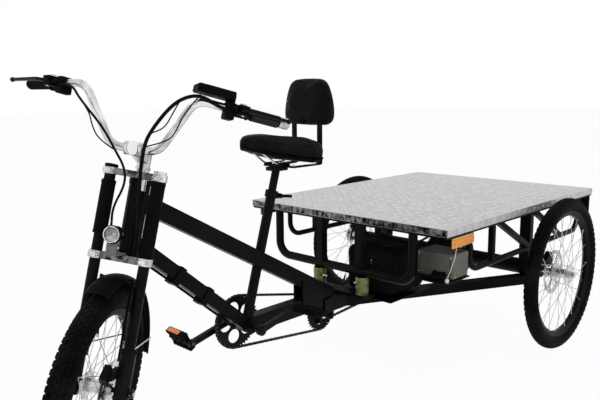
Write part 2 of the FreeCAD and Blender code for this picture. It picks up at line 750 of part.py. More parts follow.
def build_deck(washers):
    """Tread-plate deck with folded lips, its frame, hoop, side trusses and brackets."""
    top, sheet_low = S.deck_top, S.deck_top - S.deck_sheet
    lip_low = top - S.deck_lip
    front, rear, half = S.deck_front, -S.deck_rear, S.deck_half
    skin = block("deck_skin", at(rear, -half, lip_low), at(front, half, top))
    wall = S.deck_sheet
    hollow = block("deck_hollow", at(rear + wall, wall - half, lip_low - 1), at(front - wall, half - wall, sheet_low))
    node("deck_plate", cut("deck", skin, hollow))
    bar = S.frame_tube
    mid = sheet_low - bar / 2
    size = (cell("frame_tube"), cell("frame_tube"))
    side_y = half - wall - bar / 2
    members = [box_tube("deck_side_" + side, at(front - wall, sign * side_y, mid), at(rear + wall, sign * side_y, mid),
                        *size) for side, sign in SIDES.items()]
    stations = [hoop_line_x(), 430.0, 0.0, rear + wall + bar / 2]
    cross = side_y - bar / 2
    members += [box_tube("deck_cross_%d" % index, at(x, -cross, mid), at(x, cross, mid), *size)
                for index, x in enumerate(stations)]
    under = sheet_low - bar
    hoop_x = hoop_line_x()
    corners = [at(hoop_x, -S.hoop_half, under), at(hoop_x, -S.hoop_half, S.hoop_height),
               at(hoop_x, S.hoop_half, S.hoop_height), at(hoop_x, S.hoop_half, under)]
    hoop = bent_tube("hoop", corners, 55.0, S.hoop_radius, S.tube_wall)
    low_core = rod("hoop_core", corners[1], corners[2], cell("hoop_radius"))
    posts = [cut("hoop_post_" + side, box_tube("hoop_post_" + side, at(hoop_x, sign * S.hoop_post_y, S.hoop_height),
                                               at(hoop_x, sign * S.hoop_post_y, under), *size, X), low_core)
             for side, sign in SIDES.items()]
    shelf = shape("shelf", Part.makeBox(150, 150, 4, at(hoop_x - 150, S.hoop_half - 15, 406)).cut(
        Part.makeCylinder(S.hoop_radius, 40, at(hoop_x, S.hoop_half, 390))))
    node("front_hoop", group("hoop_set", [hoop] + posts + washers + [shelf]))
    for side, sign in SIDES.items():
        node("side_truss_" + side, truss(side, sign, under))
    lamp_low, lamp_high, lamp_front, lamp_length = 527.0, 562.0, 727.0, 136.0
    back, face = half - 14, half - 9
    lamps = []
    brackets = [block("rear_panel", at(rear + 12, 5 - half, 492), at(rear + 16, half - 5, under))]
    for side, sign in SIDES.items():
        y = sorted((sign * back, sign * face))
        brackets.append(block("lamp_bracket_" + side, at(lamp_front - lamp_length, y[0], lamp_low + 4),
                              at(lamp_front, y[1], under)))
        y = sorted((sign * face, sign * (half + 2)))
        lamp = block("lamp_" + side, at(lamp_front - lamp_length, y[0], lamp_low), at(lamp_front, y[1], lamp_high))
        lamps.append(lamp)
    floor = 410.0
    lead = [at(702, half - 4, lamp_low), at(706, half - 6, 495), at(724, half - 12, 450), at(735, half - 17, floor + 14)]
    lamps.append(bent_tube("lamp_lead", lead, 10.0, 1.5))
    lamps.append(block("lead_plug", at(730, half - 22, floor), at(740, half - 12, floor + 14)))
    node("side_reflectors", group("lamp_set", lamps))
    node("deck_frame", group("deck_frame_set", members + brackets))


def truss(side, sign, under):
    """Bent lower chord with two uprights and two diagonals below the deck's side."""
    y = sign * S.truss_y
    low = S.chord_height
    corners = [at(S.chord_front, y, under), at(S.chord_front, y, low), at(-S.chord_rear, y, low),
               at(-S.chord_rear, y, under)]
    chord = bent_tube("chord_" + side, corners, 60.0, S.chord_radius, S.tube_wall)
    chord_core = rod("chord_core_" + side, corners[1], corners[2], cell("chord_radius"))
    size = (cell("truss_bar"), cell("truss_bar"))
    members = [chord]
    cores = []
    for index, x in enumerate((412.0, 107.0)):
        foot, top = at(x, y, low), at(x, y, under)
        upright = box_tube("upright_%s%d" % (side, index), foot, top, *size, X)
        cores.append(box_core("upright_core_%s%d" % (side, index), foot, top, *size, X))
        members.append(cut("upright_%s%d" % (side, index), upright, chord_core))
    roof = block("roof_" + side, at(-S.deck_rear, y - 40, under), at(S.deck_front, y + 40, under + 80))
    for index, (start, end) in enumerate(((395.0, 112.0), (95.0, -180.0))):
        top, foot = at(start, y, under + 12), at(end, y, low + 6)
        brace = box_tube("brace_%s%d" % (side, index), top, foot, *size, Y)
        members.append(cut("brace_%s%d" % (side, index), brace, roof, chord_core, *cores))
    return group("truss_" + side, members)


def build_equipment():
    """Battery bag, controller box and drive unit."""
    floor = S.chassis_low + S.rail_height + 4
    bag = block("bag_blank", at(455, -30, floor), at(S.spine_rear - 12, S.bag_side, floor + 190))
    soft = doc.addObject("Part::Fillet", "bag_round")
    soft.Base = bag
    soft.Edges = [(edge, 26.0, 26.0) for edge in range(1, 13)]
    node("battery_bag", soft)
    case = block("case_blank", at(600, S.hoop_half - 14, 410), at(702, S.hoop_half + 130, 500))
    soft = doc.addObject("Part::Fillet", "case_round")
    soft.Base = case
    soft.Edges = [(edge, 8.0, 8.0) for edge in range(1, 13)]
    node("controller_box", soft)
    axle = at(0, 0, S.rear_tyre_radius)
    core = rod("unit_core", axle - Y * 200, axle + Y * 200, cell("axle_tube_radius"))
    unit_low = S.drive_chain_y - 24
    casing = fuse("unit_casing", [rod("unit_drum", axle - Y * unit_low, axle + Y * 96, 78.0),
                                  rod("unit_rim", axle - Y * (unit_low - 14), axle + Y * 60, 86.0)])
    node("drive_unit", cut("unit", casing, core))


# Chain drive
def pitch_radius(teeth):
    """Pitch radius of a sprocket."""
    return teeth * S.chain_pitch / (2 * math.pi)


def sprocket(teeth, thickness, bore, windows=0):
    """Toothed wheel about local Z, with round windows if wanted."""
    radius = pitch_radius(teeth)
    step = 2 * math.pi / teeth
    points = []
    for tooth in range(int(teeth)):
        for r, part in ((radius - 3.9, 0.14), (radius + 2.4, 0.40), (radius + 2.4, 0.60), (radius - 3.9, 0.86)):
            angle = (tooth + part) * step
            points.append(Vector(r * math.cos(angle), r * math.sin(angle), -thickness / 2))
    solid = Part.Face(Part.makePolygon(points + points[:1])).extrude(Z * thickness)
    solid = solid.cut(Part.makeCylinder(bore, thickness, Z * (-thickness / 2)))
    if windows:
        hole_radius = (radius - 16 - 26) / 2
        ring = 26 + hole_radius
        for number in range(windows):
            angle = 2 * math.pi * number / windows
            centre = Vector(ring * math.cos(angle), ring * math.sin(angle), -thickness / 2)
            solid = solid.cut(Part.makeCylinder(hole_radius, thickness, centre))
    return solid


def chain_loop(name, first, second, radii, y):
    """Two side bands joined by rollers on the straight runs, which leave the teeth free."""
    inner_gap, band, half_height = 1.9, 1.6, 4.2
    roller = 3.8
    along = second - first
    distance = along.Length
    base = unit(along)
    normal = Vector(-base.z, 0, base.x)
    lean = math.asin((radii[0] - radii[1]) / distance)

    def loop_wire(grow):
        tips = []
        for sign in (1, -1):
            side = normal * (sign * math.cos(lean)) + base * math.sin(lean)
            tips.append((first + side * (radii[0] + grow), second + side * (radii[1] + grow)))
        back = first - base * (radii[0] + grow)
        ahead = second + base * (radii[1] + grow)
        (a_high, b_high), (a_low, b_low) = tips
        return Part.Wire([Part.LineSegment(a_high, b_high).toShape(), Part.Arc(b_high, ahead, b_low).toShape(),
                          Part.LineSegment(b_low, a_low).toShape(), Part.Arc(a_low, back, a_high).toShape()])
    face = Part.Face([loop_wire(half_height), loop_wire(-half_height)])
    face.validate()
    solid = None
    for low in (-inner_gap - band, inner_gap):
        side = face.copy()
        side.translate(Y * (y + low))
        piece = side.extrude(Y * band)
        solid = piece if solid is None else solid.fuse(piece)
    for sign in (1, -1):
        side = normal * (sign * math.cos(lean)) + base * math.sin(lean)
        start, end = first + side * radii[0], second + side * radii[1]
        run = end - start
        margin = 5 * S.chain_pitch
        count = int((run.Length - 2 * margin) // S.chain_pitch)
        for link in range(count + 1):
            spot = start + unit(run) * (margin + link * S.chain_pitch) + Y * (y - inner_gap - band / 2)
            solid = solid.fuse(Part.makeCylinder(roller, 2 * inner_gap + band, spot, Y))
    return shape(name, solid.removeSplitter())


def build_drive():
    """Chainring, cranks, pedals, jackshaft, axle sprocket and the two chains."""
    crank, jack = at(S.crank_x, 0, S.crank_z), at(S.jack_x, 0, S.jack_z)
    axle = at(0, 0, S.rear_tyre_radius)
    across = Rotation(X, -90)
    disc_width = 2.2
    ring = sprocket(S.ring_teeth, disc_width, S.spindle_radius, 5)
    boss = Part.makeCylinder(24, S.crank_y - S.chain_y, Vector(0, 0, S.chain_y - S.crank_y))
    boss = boss.cut(Part.makeCylinder(S.spindle_radius, 60, Vector(0, 0, -40)))
    node("chainring", shape("ring", ring.fuse(boss).removeSplitter(),
                            Placement(crank - Y * S.chain_y, across)))
    angle = math.radians(S.crank_angle)
    reach = Vector(math.cos(angle), 0, math.sin(angle)) * S.crank_length
    outer = S.crank_y + S.crank_thickness
    pieces = [rod("spindle", crank - Y * outer, crank + Y * outer, cell("spindle_radius"))]
    pedal_gap = 4.0
    for side, sign in SIDES.items():
        tip = crank - reach * sign
        inner, out = crank + Y * (sign * S.crank_y), crank + Y * (sign * outer)
        tip_in, tip_out = tip + Y * (sign * S.crank_y), tip + Y * (sign * outer)
        arm_at = aim(crank + Y * (sign * (S.crank_y + outer) / 2), tip - crank, Y)
        arm = primitive("Box", "arm_" + side, arm_at.multiply(
            Placement(Vector(-10, -S.crank_thickness / 2, 0), Rotation())),
            Length=20, Height=S.crank_length)
        arm.setExpression("Width", cell("crank_thickness"))
        pieces += [arm, rod("eye_" + side, inner, out, 18.0), rod("toe_" + side, tip_in, tip_out, 13.0),
                   rod("pin_" + side, tip_in, tip_out + Y * (sign * (pedal_gap + S.pedal_length - 8)),
                       cell("pedal_axle_radius"))]
        node("pedal_" + side, pedal(side, sign, tip_out + Y * (sign * pedal_gap)))
    node("cranks", fuse("crank_set", pieces))
    shaft_end = S.drive_chain_y + 8
    shaft_run = shaft_end + S.hanger_inset + 6
    shaft = Part.makeCylinder(S.spindle_radius, shaft_run, jack - Y * shaft_end, Y)
    wheel_in = sprocket(S.jack_teeth, disc_width, S.spindle_radius)
    base = Z * (-disc_width / 2)
    sector = Part.makeCylinder(pitch_radius(S.jack_teeth) - 20, disc_width, base, Z, 98)
    sector = sector.cut(Part.makeCylinder(20, disc_width, base))
    for arm in range(3):
        sector.Placement = Placement(Vector(), Rotation(Z, 120 * arm - 9))
        wheel_in = wheel_in.cut(sector)
    wheel_in.Placement = Placement(jack - Y * S.chain_y, across)
    wheel_out = sprocket(S.drive_teeth, disc_width, S.spindle_radius)
    wheel_out.Placement = Placement(jack - Y * S.drive_chain_y, across)
    spacer = Part.makeCylinder(18, S.drive_chain_y - S.chain_y, jack - Y * S.drive_chain_y, Y)
    solid = shaft.fuse([wheel_in, wheel_out, spacer]).removeSplitter()
    node("jackshaft", shape("jack", solid))
    big = sprocket(S.axle_teeth, disc_width, S.axle_tube_radius + S.running_fit, 0)
    collar = Part.makeCylinder(S.axle_tube_radius + 9, 14, Vector(0, 0, -7))
    collar = collar.cut(Part.makeCylinder(S.axle_tube_radius + S.running_fit, 14, Vector(0, 0, -7)))
    node("axle_sprocket", shape("axle_wheel", big.fuse(collar).removeSplitter(),
                                Placement(axle - Y * S.drive_chain_y, across)))
    node("pedal_chain", chain_loop("chain_one", crank, jack,
                                   (pitch_radius(S.ring_teeth), pitch_radius(S.jack_teeth)), -S.chain_y))
    node("drive_chain", chain_loop("chain_two", jack, axle,
                                   (pitch_radius(S.drive_teeth), pitch_radius(S.axle_teeth)), -S.drive_chain_y))


def pedal(side, sign, start):
    """Platform pedal with its two treads joined by end walls around the axle."""
    length, width, height = S.pedal_length, S.pedal_width, S.pedal_height
    solid = Part.makeBox(width, length, height, Vector(-width / 2, 0, -height / 2))
    for edge in (-1, 1):
        slot = Part.makeBox(width / 2 - 18, length - 24, height, Vector(edge * (width / 4 + 2.5) - width / 4 + 9, 12,
                                                                        -height / 2))
        solid = solid.cut(slot)
    solid = solid.cut(Part.makeCylinder(S.pedal_axle_radius + S.running_fit, length - 7, Vector(), Y))
    if sign < 0:
        solid = solid.mirror(Vector(), Y)
    tilt = 14 if sign > 0 else 60
    return shape("pedal_body_" + side, solid, Placement(start, Rotation(Y, -tilt)))


# Fork and cockpit: local X points to the wheel's front, local Z runs up the steering axis
def crown(name, reach, thickness, clamp):
    """Fork crown with two leg clamps, a bridge between them and a boss on the steering axis."""
    low = reach - thickness / 2
    legs = [Vector(S.fork_offset, sign * S.leg_half, low) for sign in (LEFT, RIGHT)]
    width = S.crown_arm_width
    tall = Vector(0, 0, thickness)
    members = [rod("%s_clamp%d" % (name, i), leg, leg + tall, clamp) for i, leg in enumerate(legs)]
    members.append(rod(name + "_boss", Vector(0, 0, low), tall + Vector(0, 0, low), cell("head_tube_radius") + " - 2"))
    members.append(block(name + "_bridge", Vector(S.fork_offset - width / 2, -S.leg_half, low),
                         Vector(S.fork_offset + width / 2, S.leg_half, low + thickness)))
    members.append(block(name + "_neck", Vector(0, -S.head_cup_radius, low),
                         Vector(S.fork_offset, S.head_cup_radius, low + thickness)))
    bores = [rod("%s_bore%d" % (name, i), leg, leg + tall, cell("stanchion_radius")) for i, leg in enumerate(legs)]
    bores.append(rod(name + "_eye", Vector(0, 0, low), Vector(0, 0, low) + tall, cell("steerer_radius")))
    return cut(name, fuse(name + "_blank", members), *bores)


def build_fork():
    """Crowns, covers, stanchions, sliders with axle, disc caliper and mudguard."""
    upper_low = upper_crown_reach - S.upper_crown_thickness / 2
    upper_high = upper_crown_reach + S.upper_crown_thickness / 2
    lower_low = lower_crown_reach - S.lower_crown_thickness / 2
    lower_high = lower_crown_reach + S.lower_crown_thickness / 2
    clamp = cell("crown_clamp_radius")
    node("upper_crown", put(crown("upper", upper_crown_reach, S.upper_crown_thickness, clamp), STEER))
    steerer = round_tube("steerer", Vector(0, 0, lower_low), Vector(0, 0, stem_height() - 22),
                         cell("steerer_radius"), cell("steerer_radius") + " - 3")
    lower = crown("lower", lower_crown_reach, S.lower_crown_thickness, clamp)
    node("lower_crown", put(group("lower_set", [lower, steerer]), STEER))
    bore_floor = hub_reach + 25
    leg_low = bore_floor + S.fork_travel + 5
    covers, legs, sliders = [], [], []
    for side, sign in SIDES.items():
        leg = Vector(S.fork_offset, sign * S.leg_half, 0)
        bare_low, bare_high = (0.0, 0.0) if side == "left" else (46.0, 16.0)
        covers.append(round_tube("cover_" + side, leg + Z * (lower_high + bare_low),
                                 leg + Z * (upper_low - bare_high), cell("cover_radius"),
                                 cell("stanchion_radius")))
        legs.append(round_tube("leg_" + side, leg + Z * leg_low, leg + Z * upper_high, cell("stanchion_radius"),
                               cell("stanchion_radius") + " - 3"))
        legs.append(rod("cap_" + side, leg + Z * upper_high, leg + Z * (upper_high + 8),
                        cell("stanchion_radius") + " + 2"))
        blank = rod("slider_" + side, leg + Z * (hub_reach - 30), leg + Z * S.slider_top_reach,
                    cell("slider_radius"))
        well = rod("well_" + side, leg + Z * bore_floor, leg + Z * (S.slider_top_reach + 1),
                   cell("stanchion_radius") + " + " + cell("running_fit"))
        hole = rod("eye_hole_" + side, Vector(S.fork_offset, -150, hub_reach), Vector(S.fork_offset, 150, hub_reach),
                   cell("front_axle_radius"))
        sliders.append(cut("slider_" + side, blank, well, hole))
    node("fork_covers", put(group("cover_set", covers), STEER))
    node("stanchions", put(group("leg_set", legs), STEER))
    end = S.leg_half + S.slider_radius
    hub_mid = Vector(S.fork_offset, 0, hub_reach)
    axle = fuse("axle", [rod("axle_rod", hub_mid - Y * (end + 10), hub_mid + Y * (end + 10),
                             cell("front_axle_radius"))]
                + [rod("axle_nut_" + side, hub_mid + Y * (sign * end), hub_mid + Y * (sign * (end + 8)), 12.0)
                   for side, sign in SIDES.items()])
    node("fork_sliders", put(group("slider_set", sliders + [axle]), STEER))
    node("front_caliper", shape("front_caliper_solid", front_caliper(), STEER))
    node("front_mudguard", put(group("mudguard_set", [shape("mudguard", mudguard())] + mudguard_posts()), STEER))
    node("mudguard_stays", put(group("stay_rods", mudguard_stays()), STEER))


def front_caliper():
    """Front brake caliper astride the disc, on a lug of the left slider."""
    reach = S.front_disc_radius
    disc_mid = S.disc_offset - S.disc_thickness / 2
    inner, outer = disc_mid - 6.3, disc_mid + 11
    solid = Part.makeBox(36, outer - inner, 44, Vector(reach - 24, inner, -22))
    slot = Part.makeBox(40, S.disc_thickness + 2.2, 60, Vector(reach - 38, disc_mid - S.disc_thickness / 2 - 1.1, -30))
    solid = solid.cut(slot)
    solid.Placement = Placement(Vector(S.fork_offset, 0, hub_reach), Rotation(Y, -42))
    lug = Part.makeBox(56, 14, 26, Vector(S.fork_offset + 4, outer - 4, hub_reach + 38))
    leg = Part.makeCylinder(S.slider_radius, 400, Vector(S.fork_offset, S.leg_half, hub_reach - 100))
    window = Part.makeBox(60, S.disc_thickness + 2.2, 60,
                          Vector(S.fork_offset, disc_mid - S.disc_thickness / 2 - 1.1, hub_reach + 20))
    return solid.fuse(lug.cut(leg).cut(window)).removeSplitter()


def mudguard_half():
    """Half width of the mudguard."""
    return S.front_tyre_width / 2 + 2


def mudguard_radius():
    """Outer radius of the mudguard's edges."""
    return S.front_tyre_radius + 20


def mudguard():
    """Crowned band over the front tyre, from just ahead of the crown to behind the leg."""
    front, rear = 68.0, 172.0
    half, edge = mudguard_half(), mudguard_radius()
    wall = 2.2
    rows = [(edge, half), (edge + 6, half * 0.72), (edge + 9, half * 0.3)]
    outside = [(r, -y) for r, y in rows] + [(r, y) for r, y in reversed(rows)]
    inside = [(r - wall, y * (half - wall) / half) for r, y in reversed(outside)]
    points = [Vector(S.fork_offset, y, hub_reach + r) for r, y in outside + inside]
    face = Part.Face(Part.makePolygon(points + points[:1]))
    hub_mid = Vector(S.fork_offset, 0, hub_reach)
    face.rotate(hub_mid, Y, 90 - front)
    return face.revolve(hub_mid, Y, front - rear)


def mudguard_posts():
    """Posts on the sliders' inner sides, each with a peg to the mudguard's edge."""
    half, edge = mudguard_half(), mudguard_radius()
    thick = 3.4
    y = S.leg_half - S.slider_radius - thick
    high = hub_reach + edge
    posts = []
    for side, sign in SIDES.items():
        post = rod("post_" + side, Vector(S.fork_offset, sign * y, S.slider_top_reach - 30),
                   Vector(S.fork_offset, sign * y, high + thick), thick)
        peg = rod("peg_" + side, Vector(S.fork_offset, sign * (half + 0.2), high),
                  Vector(S.fork_offset, sign * y, high), thick - 0.9)
        posts.append(fuse("mudguard_post_" + side, [post, peg]))
    return posts


def mudguard_stays():
    """Rear stays from the backs of the sliders to the mudguard's edges."""
    half, edge = mudguard_half(), mudguard_radius()
    angle = math.radians(161)
    stays = []
    for side, sign in SIDES.items():
        leg = Vector(S.fork_offset, sign * S.leg_half, 0)
        tip = Vector(S.fork_offset + (edge - 4) * math.cos(angle), sign * (half + 2.6),
                     hub_reach + (edge - 4) * math.sin(angle))
        hip = leg + Vector(-S.slider_radius + 3, sign * -3, S.slider_top_reach - 6)
        slider = rod("stay_trim_" + side, leg + Z * 200, leg + Z * 500, cell("slider_radius"))
        stays.append(cut("rear_stay_" + side, rod("rear_stay_" + side, hip, tip, 2.4), slider))
    return stays


def bar_points(sign):
    """Corners of one half of the handlebar, from its clamp to its end."""
    centre = Vector(S.stem_reach, 0, stem_height())
    end = Vector(-12, sign * 377, stem_height() + 140)
    return [centre, centre + Y * (sign * 66), centre + Vector(31, sign * 151, 148), end]


def grip_frame(sign):
    """Frame at a bar end: local Z outwards along the grip, local X forward."""
    points = bar_points(sign)
    return aim(points[-1], points[-1] - points[-2], Z * -sign)


def build_cockpit():
    """Stem, handlebar, grips, levers, control pods, display, headlamp and cables."""
    centre = Vector(S.stem_reach, 0, stem_height())
    sleeve_low = upper_crown_reach + S.upper_crown_thickness / 2
    sleeve = rod("stem_sleeve", Vector(0, 0, sleeve_low), Vector(0, 0, stem_height() - 4), 19.0)
    arm_at = aim(Vector(0, 0, stem_height() - 22), centre - Vector(0, 0, stem_height() - 22), Z)
    arm = primitive("Box", "stem_arm", arm_at.multiply(Placement(Vector(-15, -13, 0), Rotation())),
                    Length=30, Width=26, Height=S.stem_reach)
    barrel = rod("stem_barrel", centre - Y * 24, centre + Y * 24, 19.0)
    hole = rod("stem_hole", centre - Y * 40, centre + Y * 40, cell("bar_radius"))
    well = rod("stem_well", Vector(0, 0, sleeve_low - 1), Vector(0, 0, stem_height() - 22), cell("steerer_radius"))
    node("stem", put(cut("stem", fuse("stem_blank", [sleeve, arm, barrel]), hole, well), STEER))
    right = list(reversed(bar_points(RIGHT)))
    points = right[:-1] + bar_points(LEFT)[1:]
    node("handlebar", bent_tube("bar", points, 45.0, S.bar_radius, S.bar_wall, STEER))
    tip = S.bar_end_length
    inner = tip + S.grip_length
    controls = []
    for side, sign in SIDES.items():
        frame = STEER.multiply(grip_frame(sign))
        low, high = Vector(0, 0, -inner), Vector(0, 0, -tip)
        if side == "left":
            node("left_grip", put(round_tube("grip", low, high, cell("grip_radius"), cell("bar_radius")), frame))
        else:
            fit = cell("bar_radius") + " + " + cell("running_fit")
            sleeve = round_tube("twist", low, high, cell("grip_radius"), fit)
            flare = round_tube("twist_flare", low, low + Z * 12, cell("grip_radius") + " + 4", fit)
            node("throttle_grip", put(fuse("throttle", [sleeve, flare]), frame))
        controls += [shape("perch_" + side, perch(inner), frame), shape("pod_" + side, pod(inner, sign), frame)]
        node("brake_lever_" + side, shape("lever_" + side, brake_lever(inner, sign), frame))
    node("bar_controls", group("control_set", controls))
    frame = STEER.multiply(grip_frame(LEFT))
    neck = Part.makeBox(20, 26, 22, Vector(-10, -36, -inner - 60)).cut(
        Part.makeBox(60, 60, 80, Vector(-30, -16, -inner - 80)))
    screen = Part.makeBox(58, 22, 104, Vector(-26, -42.5, -inner - 148))
    screen = screen.makeFillet(5.0, screen.Edges)
    node("display", shape("display_case", screen.fuse(neck).removeSplitter(), frame))
    build_headlamp()
    build_cables()


def perch(inner):
    """Lever bracket: a clamp on the bar and a slotted ear with the lever's pin."""
    low = -inner - 32
    solid = Part.makeCylinder(S.bar_radius + 6, 24, Vector(0, 0, low + 2))
    solid = solid.fuse(Part.makeBox(34, 26, 28, Vector(6, -13, low)))
    solid = solid.cut(Part.makeCylinder(S.bar_radius, 60, Vector(0, 0, low - 10)))
    solid = solid.cut(Part.makeBox(40, 10 + 2 * S.side_play, 40, Vector(19, -5 - S.side_play, low - 5)))
    return solid.fuse(Part.makeCylinder(3, 26, Vector(32, -13, low + 14), Y)).removeSplitter()


def brake_lever(inner, sign):
    """Bent lever blade with a ball end, on the perch's pin."""
    pivot = -inner - 18
    end = 4 if sign < 0 else -20
    outline = [(27, pivot - 6), (37, pivot - 6), (57, pivot + 22), (54, end), (46, end), (47, pivot + 26),
               (27, pivot + 6)]
    points = [Vector(x, -4, z) for x, z in outline]
    blade = Part.Face(Part.makePolygon(points + points[:1])).extrude(Y * 8)
    eye = Part.makeCylinder(7, 10, Vector(32, -5, pivot), Y)
    ball = Part.makeSphere(7, Vector(50, 0, end + 2))
    hole = Part.makeCylinder(3 + S.running_fit, 40, Vector(32, -20, pivot), Y)
    return blade.fuse([eye, ball]).cut(hole).removeSplitter()


def pod(inner, sign):
    """Switch pod round the bar, hanging a little below it."""
    low = -inner - 62
    drop = 14 if sign > 0 else 0
    solid = Part.makeBox(38, 32 + 14, 27, Vector(-17, -16 - 14 + drop, low))
    solid = solid.makeFillet(5.0, solid.Edges)
    return solid.cut(Part.makeCylinder(S.bar_radius, 60, Vector(0, 0, low - 10)))


def build_headlamp():
    """Round headlamp with its lens and a bracket on the lower crown."""
    reach = 92.0
    top = lower_crown_reach + S.lower_crown_thickness / 2
    height = top + 58
    where = Placement(Vector(reach, 0, height), Rotation(Y, 94))
    outline = [(0, 0), (10, 2), (17, 9), (21, 21), (22, 43), (24, 43), (24, 53), (19.5, 53), (19.5, 48), (0, 48)]
    lamp = turned("lamp_bowl", [outline], where)
    bowl = turned("lamp_trim", [outline[:7] + [(0, 53)]], where)
    foot = block("lamp_foot", Vector(S.fork_offset + 2, -16, top), Vector(reach + 40, 16, top + 5))
    post = block("lamp_post", Vector(reach + 16, -14, top + 5), Vector(reach + 40, 14, height - 8))
    bracket = cut("lamp_bracket", fuse("lamp_arm", [foot, post]), bowl)
    node("headlamp_body", put(group("lamp_body_set", [lamp, bracket]), STEER))
    glass = turned("lamp_glass", [[(0, 48), (19.5, 48), (19.5, 51.5), (12, 54), (0, 55)]], where)
    node("headlamp_lens", put(glass, STEER))


def build_cables():
    """Cable bundles from both hands to the lower crown, and the run below the down tube."""
    routes = {
        "right": (RIGHT, 3.2, [(128, -178, 132), (150, -148, 104), (138, -75, 39), (128, -36, -14), (112, -8, -55),
                               (100, -4, -99), (84, -34, -165), (60, -36, -214)]),
        "left": (LEFT, 5.0, [(132, 163, 162), (150, 121, 142), (160, 91, 103), (146, 52, 40), (134, 41, 6),
                             (112, 34, -47), (94, 34, -105), (80, 38, -171), (58, 38, -224)]),
    }
    loops = {
        "right": [[(150, -148, 104), (162, -109, 74), (168, -91, 35), (158, -70, 3), (128, -36, -14)]],
        "left": [[(132, 163, 162), (158, 135, 100), (155, 126, 60), (146, 105, 27), (134, 41, 6)],
                 [(150, 121, 142), (165, 111, 100), (165, 99, 65), (158, 79, 50), (146, 52, 40)]],
    }
    inner = S.bar_end_length + S.grip_length
    top = lower_crown_reach + S.lower_crown_thickness / 2
    thin = 1.8
    runs = []
    for side, (sign, radius, stations) in routes.items():
        frame = grip_frame(sign)
        beside = S.bar_radius + radius + 2
        start = [frame.multVec(Vector(beside, sign * 6, -inner - 62 - reach)) for reach in (0, 16)]
        level = Vector(0, 0, stem_height())
        points = start + [level + Vector(*station) for station in stations]
        last = points[-1]
        points.append(Vector(last.x, last.y, top))
        tubes = [pipe(points, 12.0, radius)]
        tubes += [pipe([level + Vector(*station) for station in loop], 12.0, thin) for loop in loops[side]]
        runs.append(shape("run_" + side, tubes[0].fuse(tubes[1:]).removeSplitter()))
    node("bar_cables", put(group("run_set", runs), STEER))
    start, end = down_tube_top(), at(S.crank_x, 0, S.crank_z)
    along = unit(end - start)
    below = unit(Vector(-along.z, 0, along.x) * (1 if along.x < 0 else -1))
    below = below if below.z < 0 else below * -1
    cable_radius = 4.0
    drop = S.down_tube_height / 2 + 8
    low, high = start + along * 60 + below * drop, end - along * 60 + below * drop
    members = [rod("under_run", low, high, cable_radius)]
    band, length = 4.0, 22.0
    for index, share in enumerate((0.34, 0.58)):
        spot = start + along * ((end - start).Length * share)
        where = aim(spot, along, Z)
        flip = where.Rotation.multVec(Y).dot(below)
        wide = S.down_tube_width / 2 + band
        tall = S.down_tube_height / 2 + band
        deep = drop + cable_radius + 1
        low_y, high_y = (-tall, deep) if flip > 0 else (-deep, tall)
        blank = primitive("Box", "clip%d" % index, where.multiply(Placement(Vector(-wide, low_y, 0), Rotation())),
                          Length=2 * wide, Width=high_y - low_y, Height=length)
        core = box_core("clip_core%d" % index, start, end, cell("down_tube_width"), cell("down_tube_height"))
        slot = rod("clip_slot%d" % index, low, high, cable_radius)
        members.append(cut("clip%d" % index, blank, core, slot))
    node("frame_cable", group("frame_cable_set", members))


# Seat
def on_seat(x, y, z):
    """Point measured from the middle of the saddle's clamp."""
    return seat_line(532.0) + Vector(x, y, z)


def build_seat():
    """Seat post, saddle, rails with clamp and backrest."""
    clamp_mid = on_seat(0, 0, 0)
    low, high = Vector(-30, -25, -12) + clamp_mid, Vector(28, 25, 12) + clamp_mid
    clamp_core = block("clamp_core", low, high)
    post = round_tube("post", seat_line(250.0), seat_line(535.0), cell("seat_post_radius"),
                      cell("seat_post_radius") + " - 2.5")
    node("seat_post", cut("post", post, clamp_core))
    saddle = saddle_solid()
    node("saddle", shape("saddle_pad", saddle))
    bar_top = clamp_mid.z + 4
    back = clamp_mid.x - 150.5
    pieces = [Part.makeBox(58, 50, 24, low), Part.makeBox(20, 142, 5, Vector(low.x, -71, bar_top - 5))]
    for sign in (LEFT, RIGHT):
        y = sign * 60 - 11
        pieces.append(Part.makeBox(low.x + 10 - back, 22, 5, Vector(back, y, bar_top - 5)))
        pieces.append(Part.makeBox(5, 22, 166, Vector(back, y, bar_top - 5)))
    frame = pieces[0].fuse(pieces[1:]).removeSplitter()
    rails = []
    for sign in (LEFT, RIGHT):
        y = sign * 29.0
        stations = [on_seat(107, sign * 20, 70), on_seat(22, y, 12), on_seat(-63, y, 12), on_seat(-106, sign * 44, 40)]
        rails.append(pipe(stations, 20.0, 3.6).cut(saddle))
    node("seat_frame", shape("seat_frame_solid", Part.makeCompound([frame] + rails)))
    node("backrest_pad", shape("backrest", backrest_solid().cut(frame)))


def saddle_solid():
    """Wide padded saddle lofted from nose to tail."""
    stations = [(153, 9, 82, 90, 98), (146, 19, 72, 96, 109), (134, 27, 66, 98, 115), (112, 36, 62, 99, 117),
                (72, 54, 50, 95, 113), (-3, 92, 33, 85, 102), (-68, 119, 19, 79, 96), (-102, 117, 18, 77, 94),
                (-118, 108, 20, 72, 88), (-124, 96, 26, 64, 78)]
    rings = []
    for x, half, low, shoulder, top in stations:
        def spot(y, z):
            return on_seat(x, y, z)
        base = half * 0.88
        edges = [Part.LineSegment(spot(-base, low), spot(base, low)).toShape(),
                 Part.Arc(spot(base, low), spot(half, (low + shoulder) / 2), spot(half * 0.93, shoulder)).toShape(),
                 Part.Arc(spot(half * 0.93, shoulder), spot(0, top), spot(-half * 0.93, shoulder)).toShape(),
                 Part.Arc(spot(-half * 0.93, shoulder), spot(-half, (low + shoulder) / 2),
                          spot(-base, low)).toShape()]
        rings.append(Part.Wire(edges))
    return Part.makeLoft(rings, True, False)


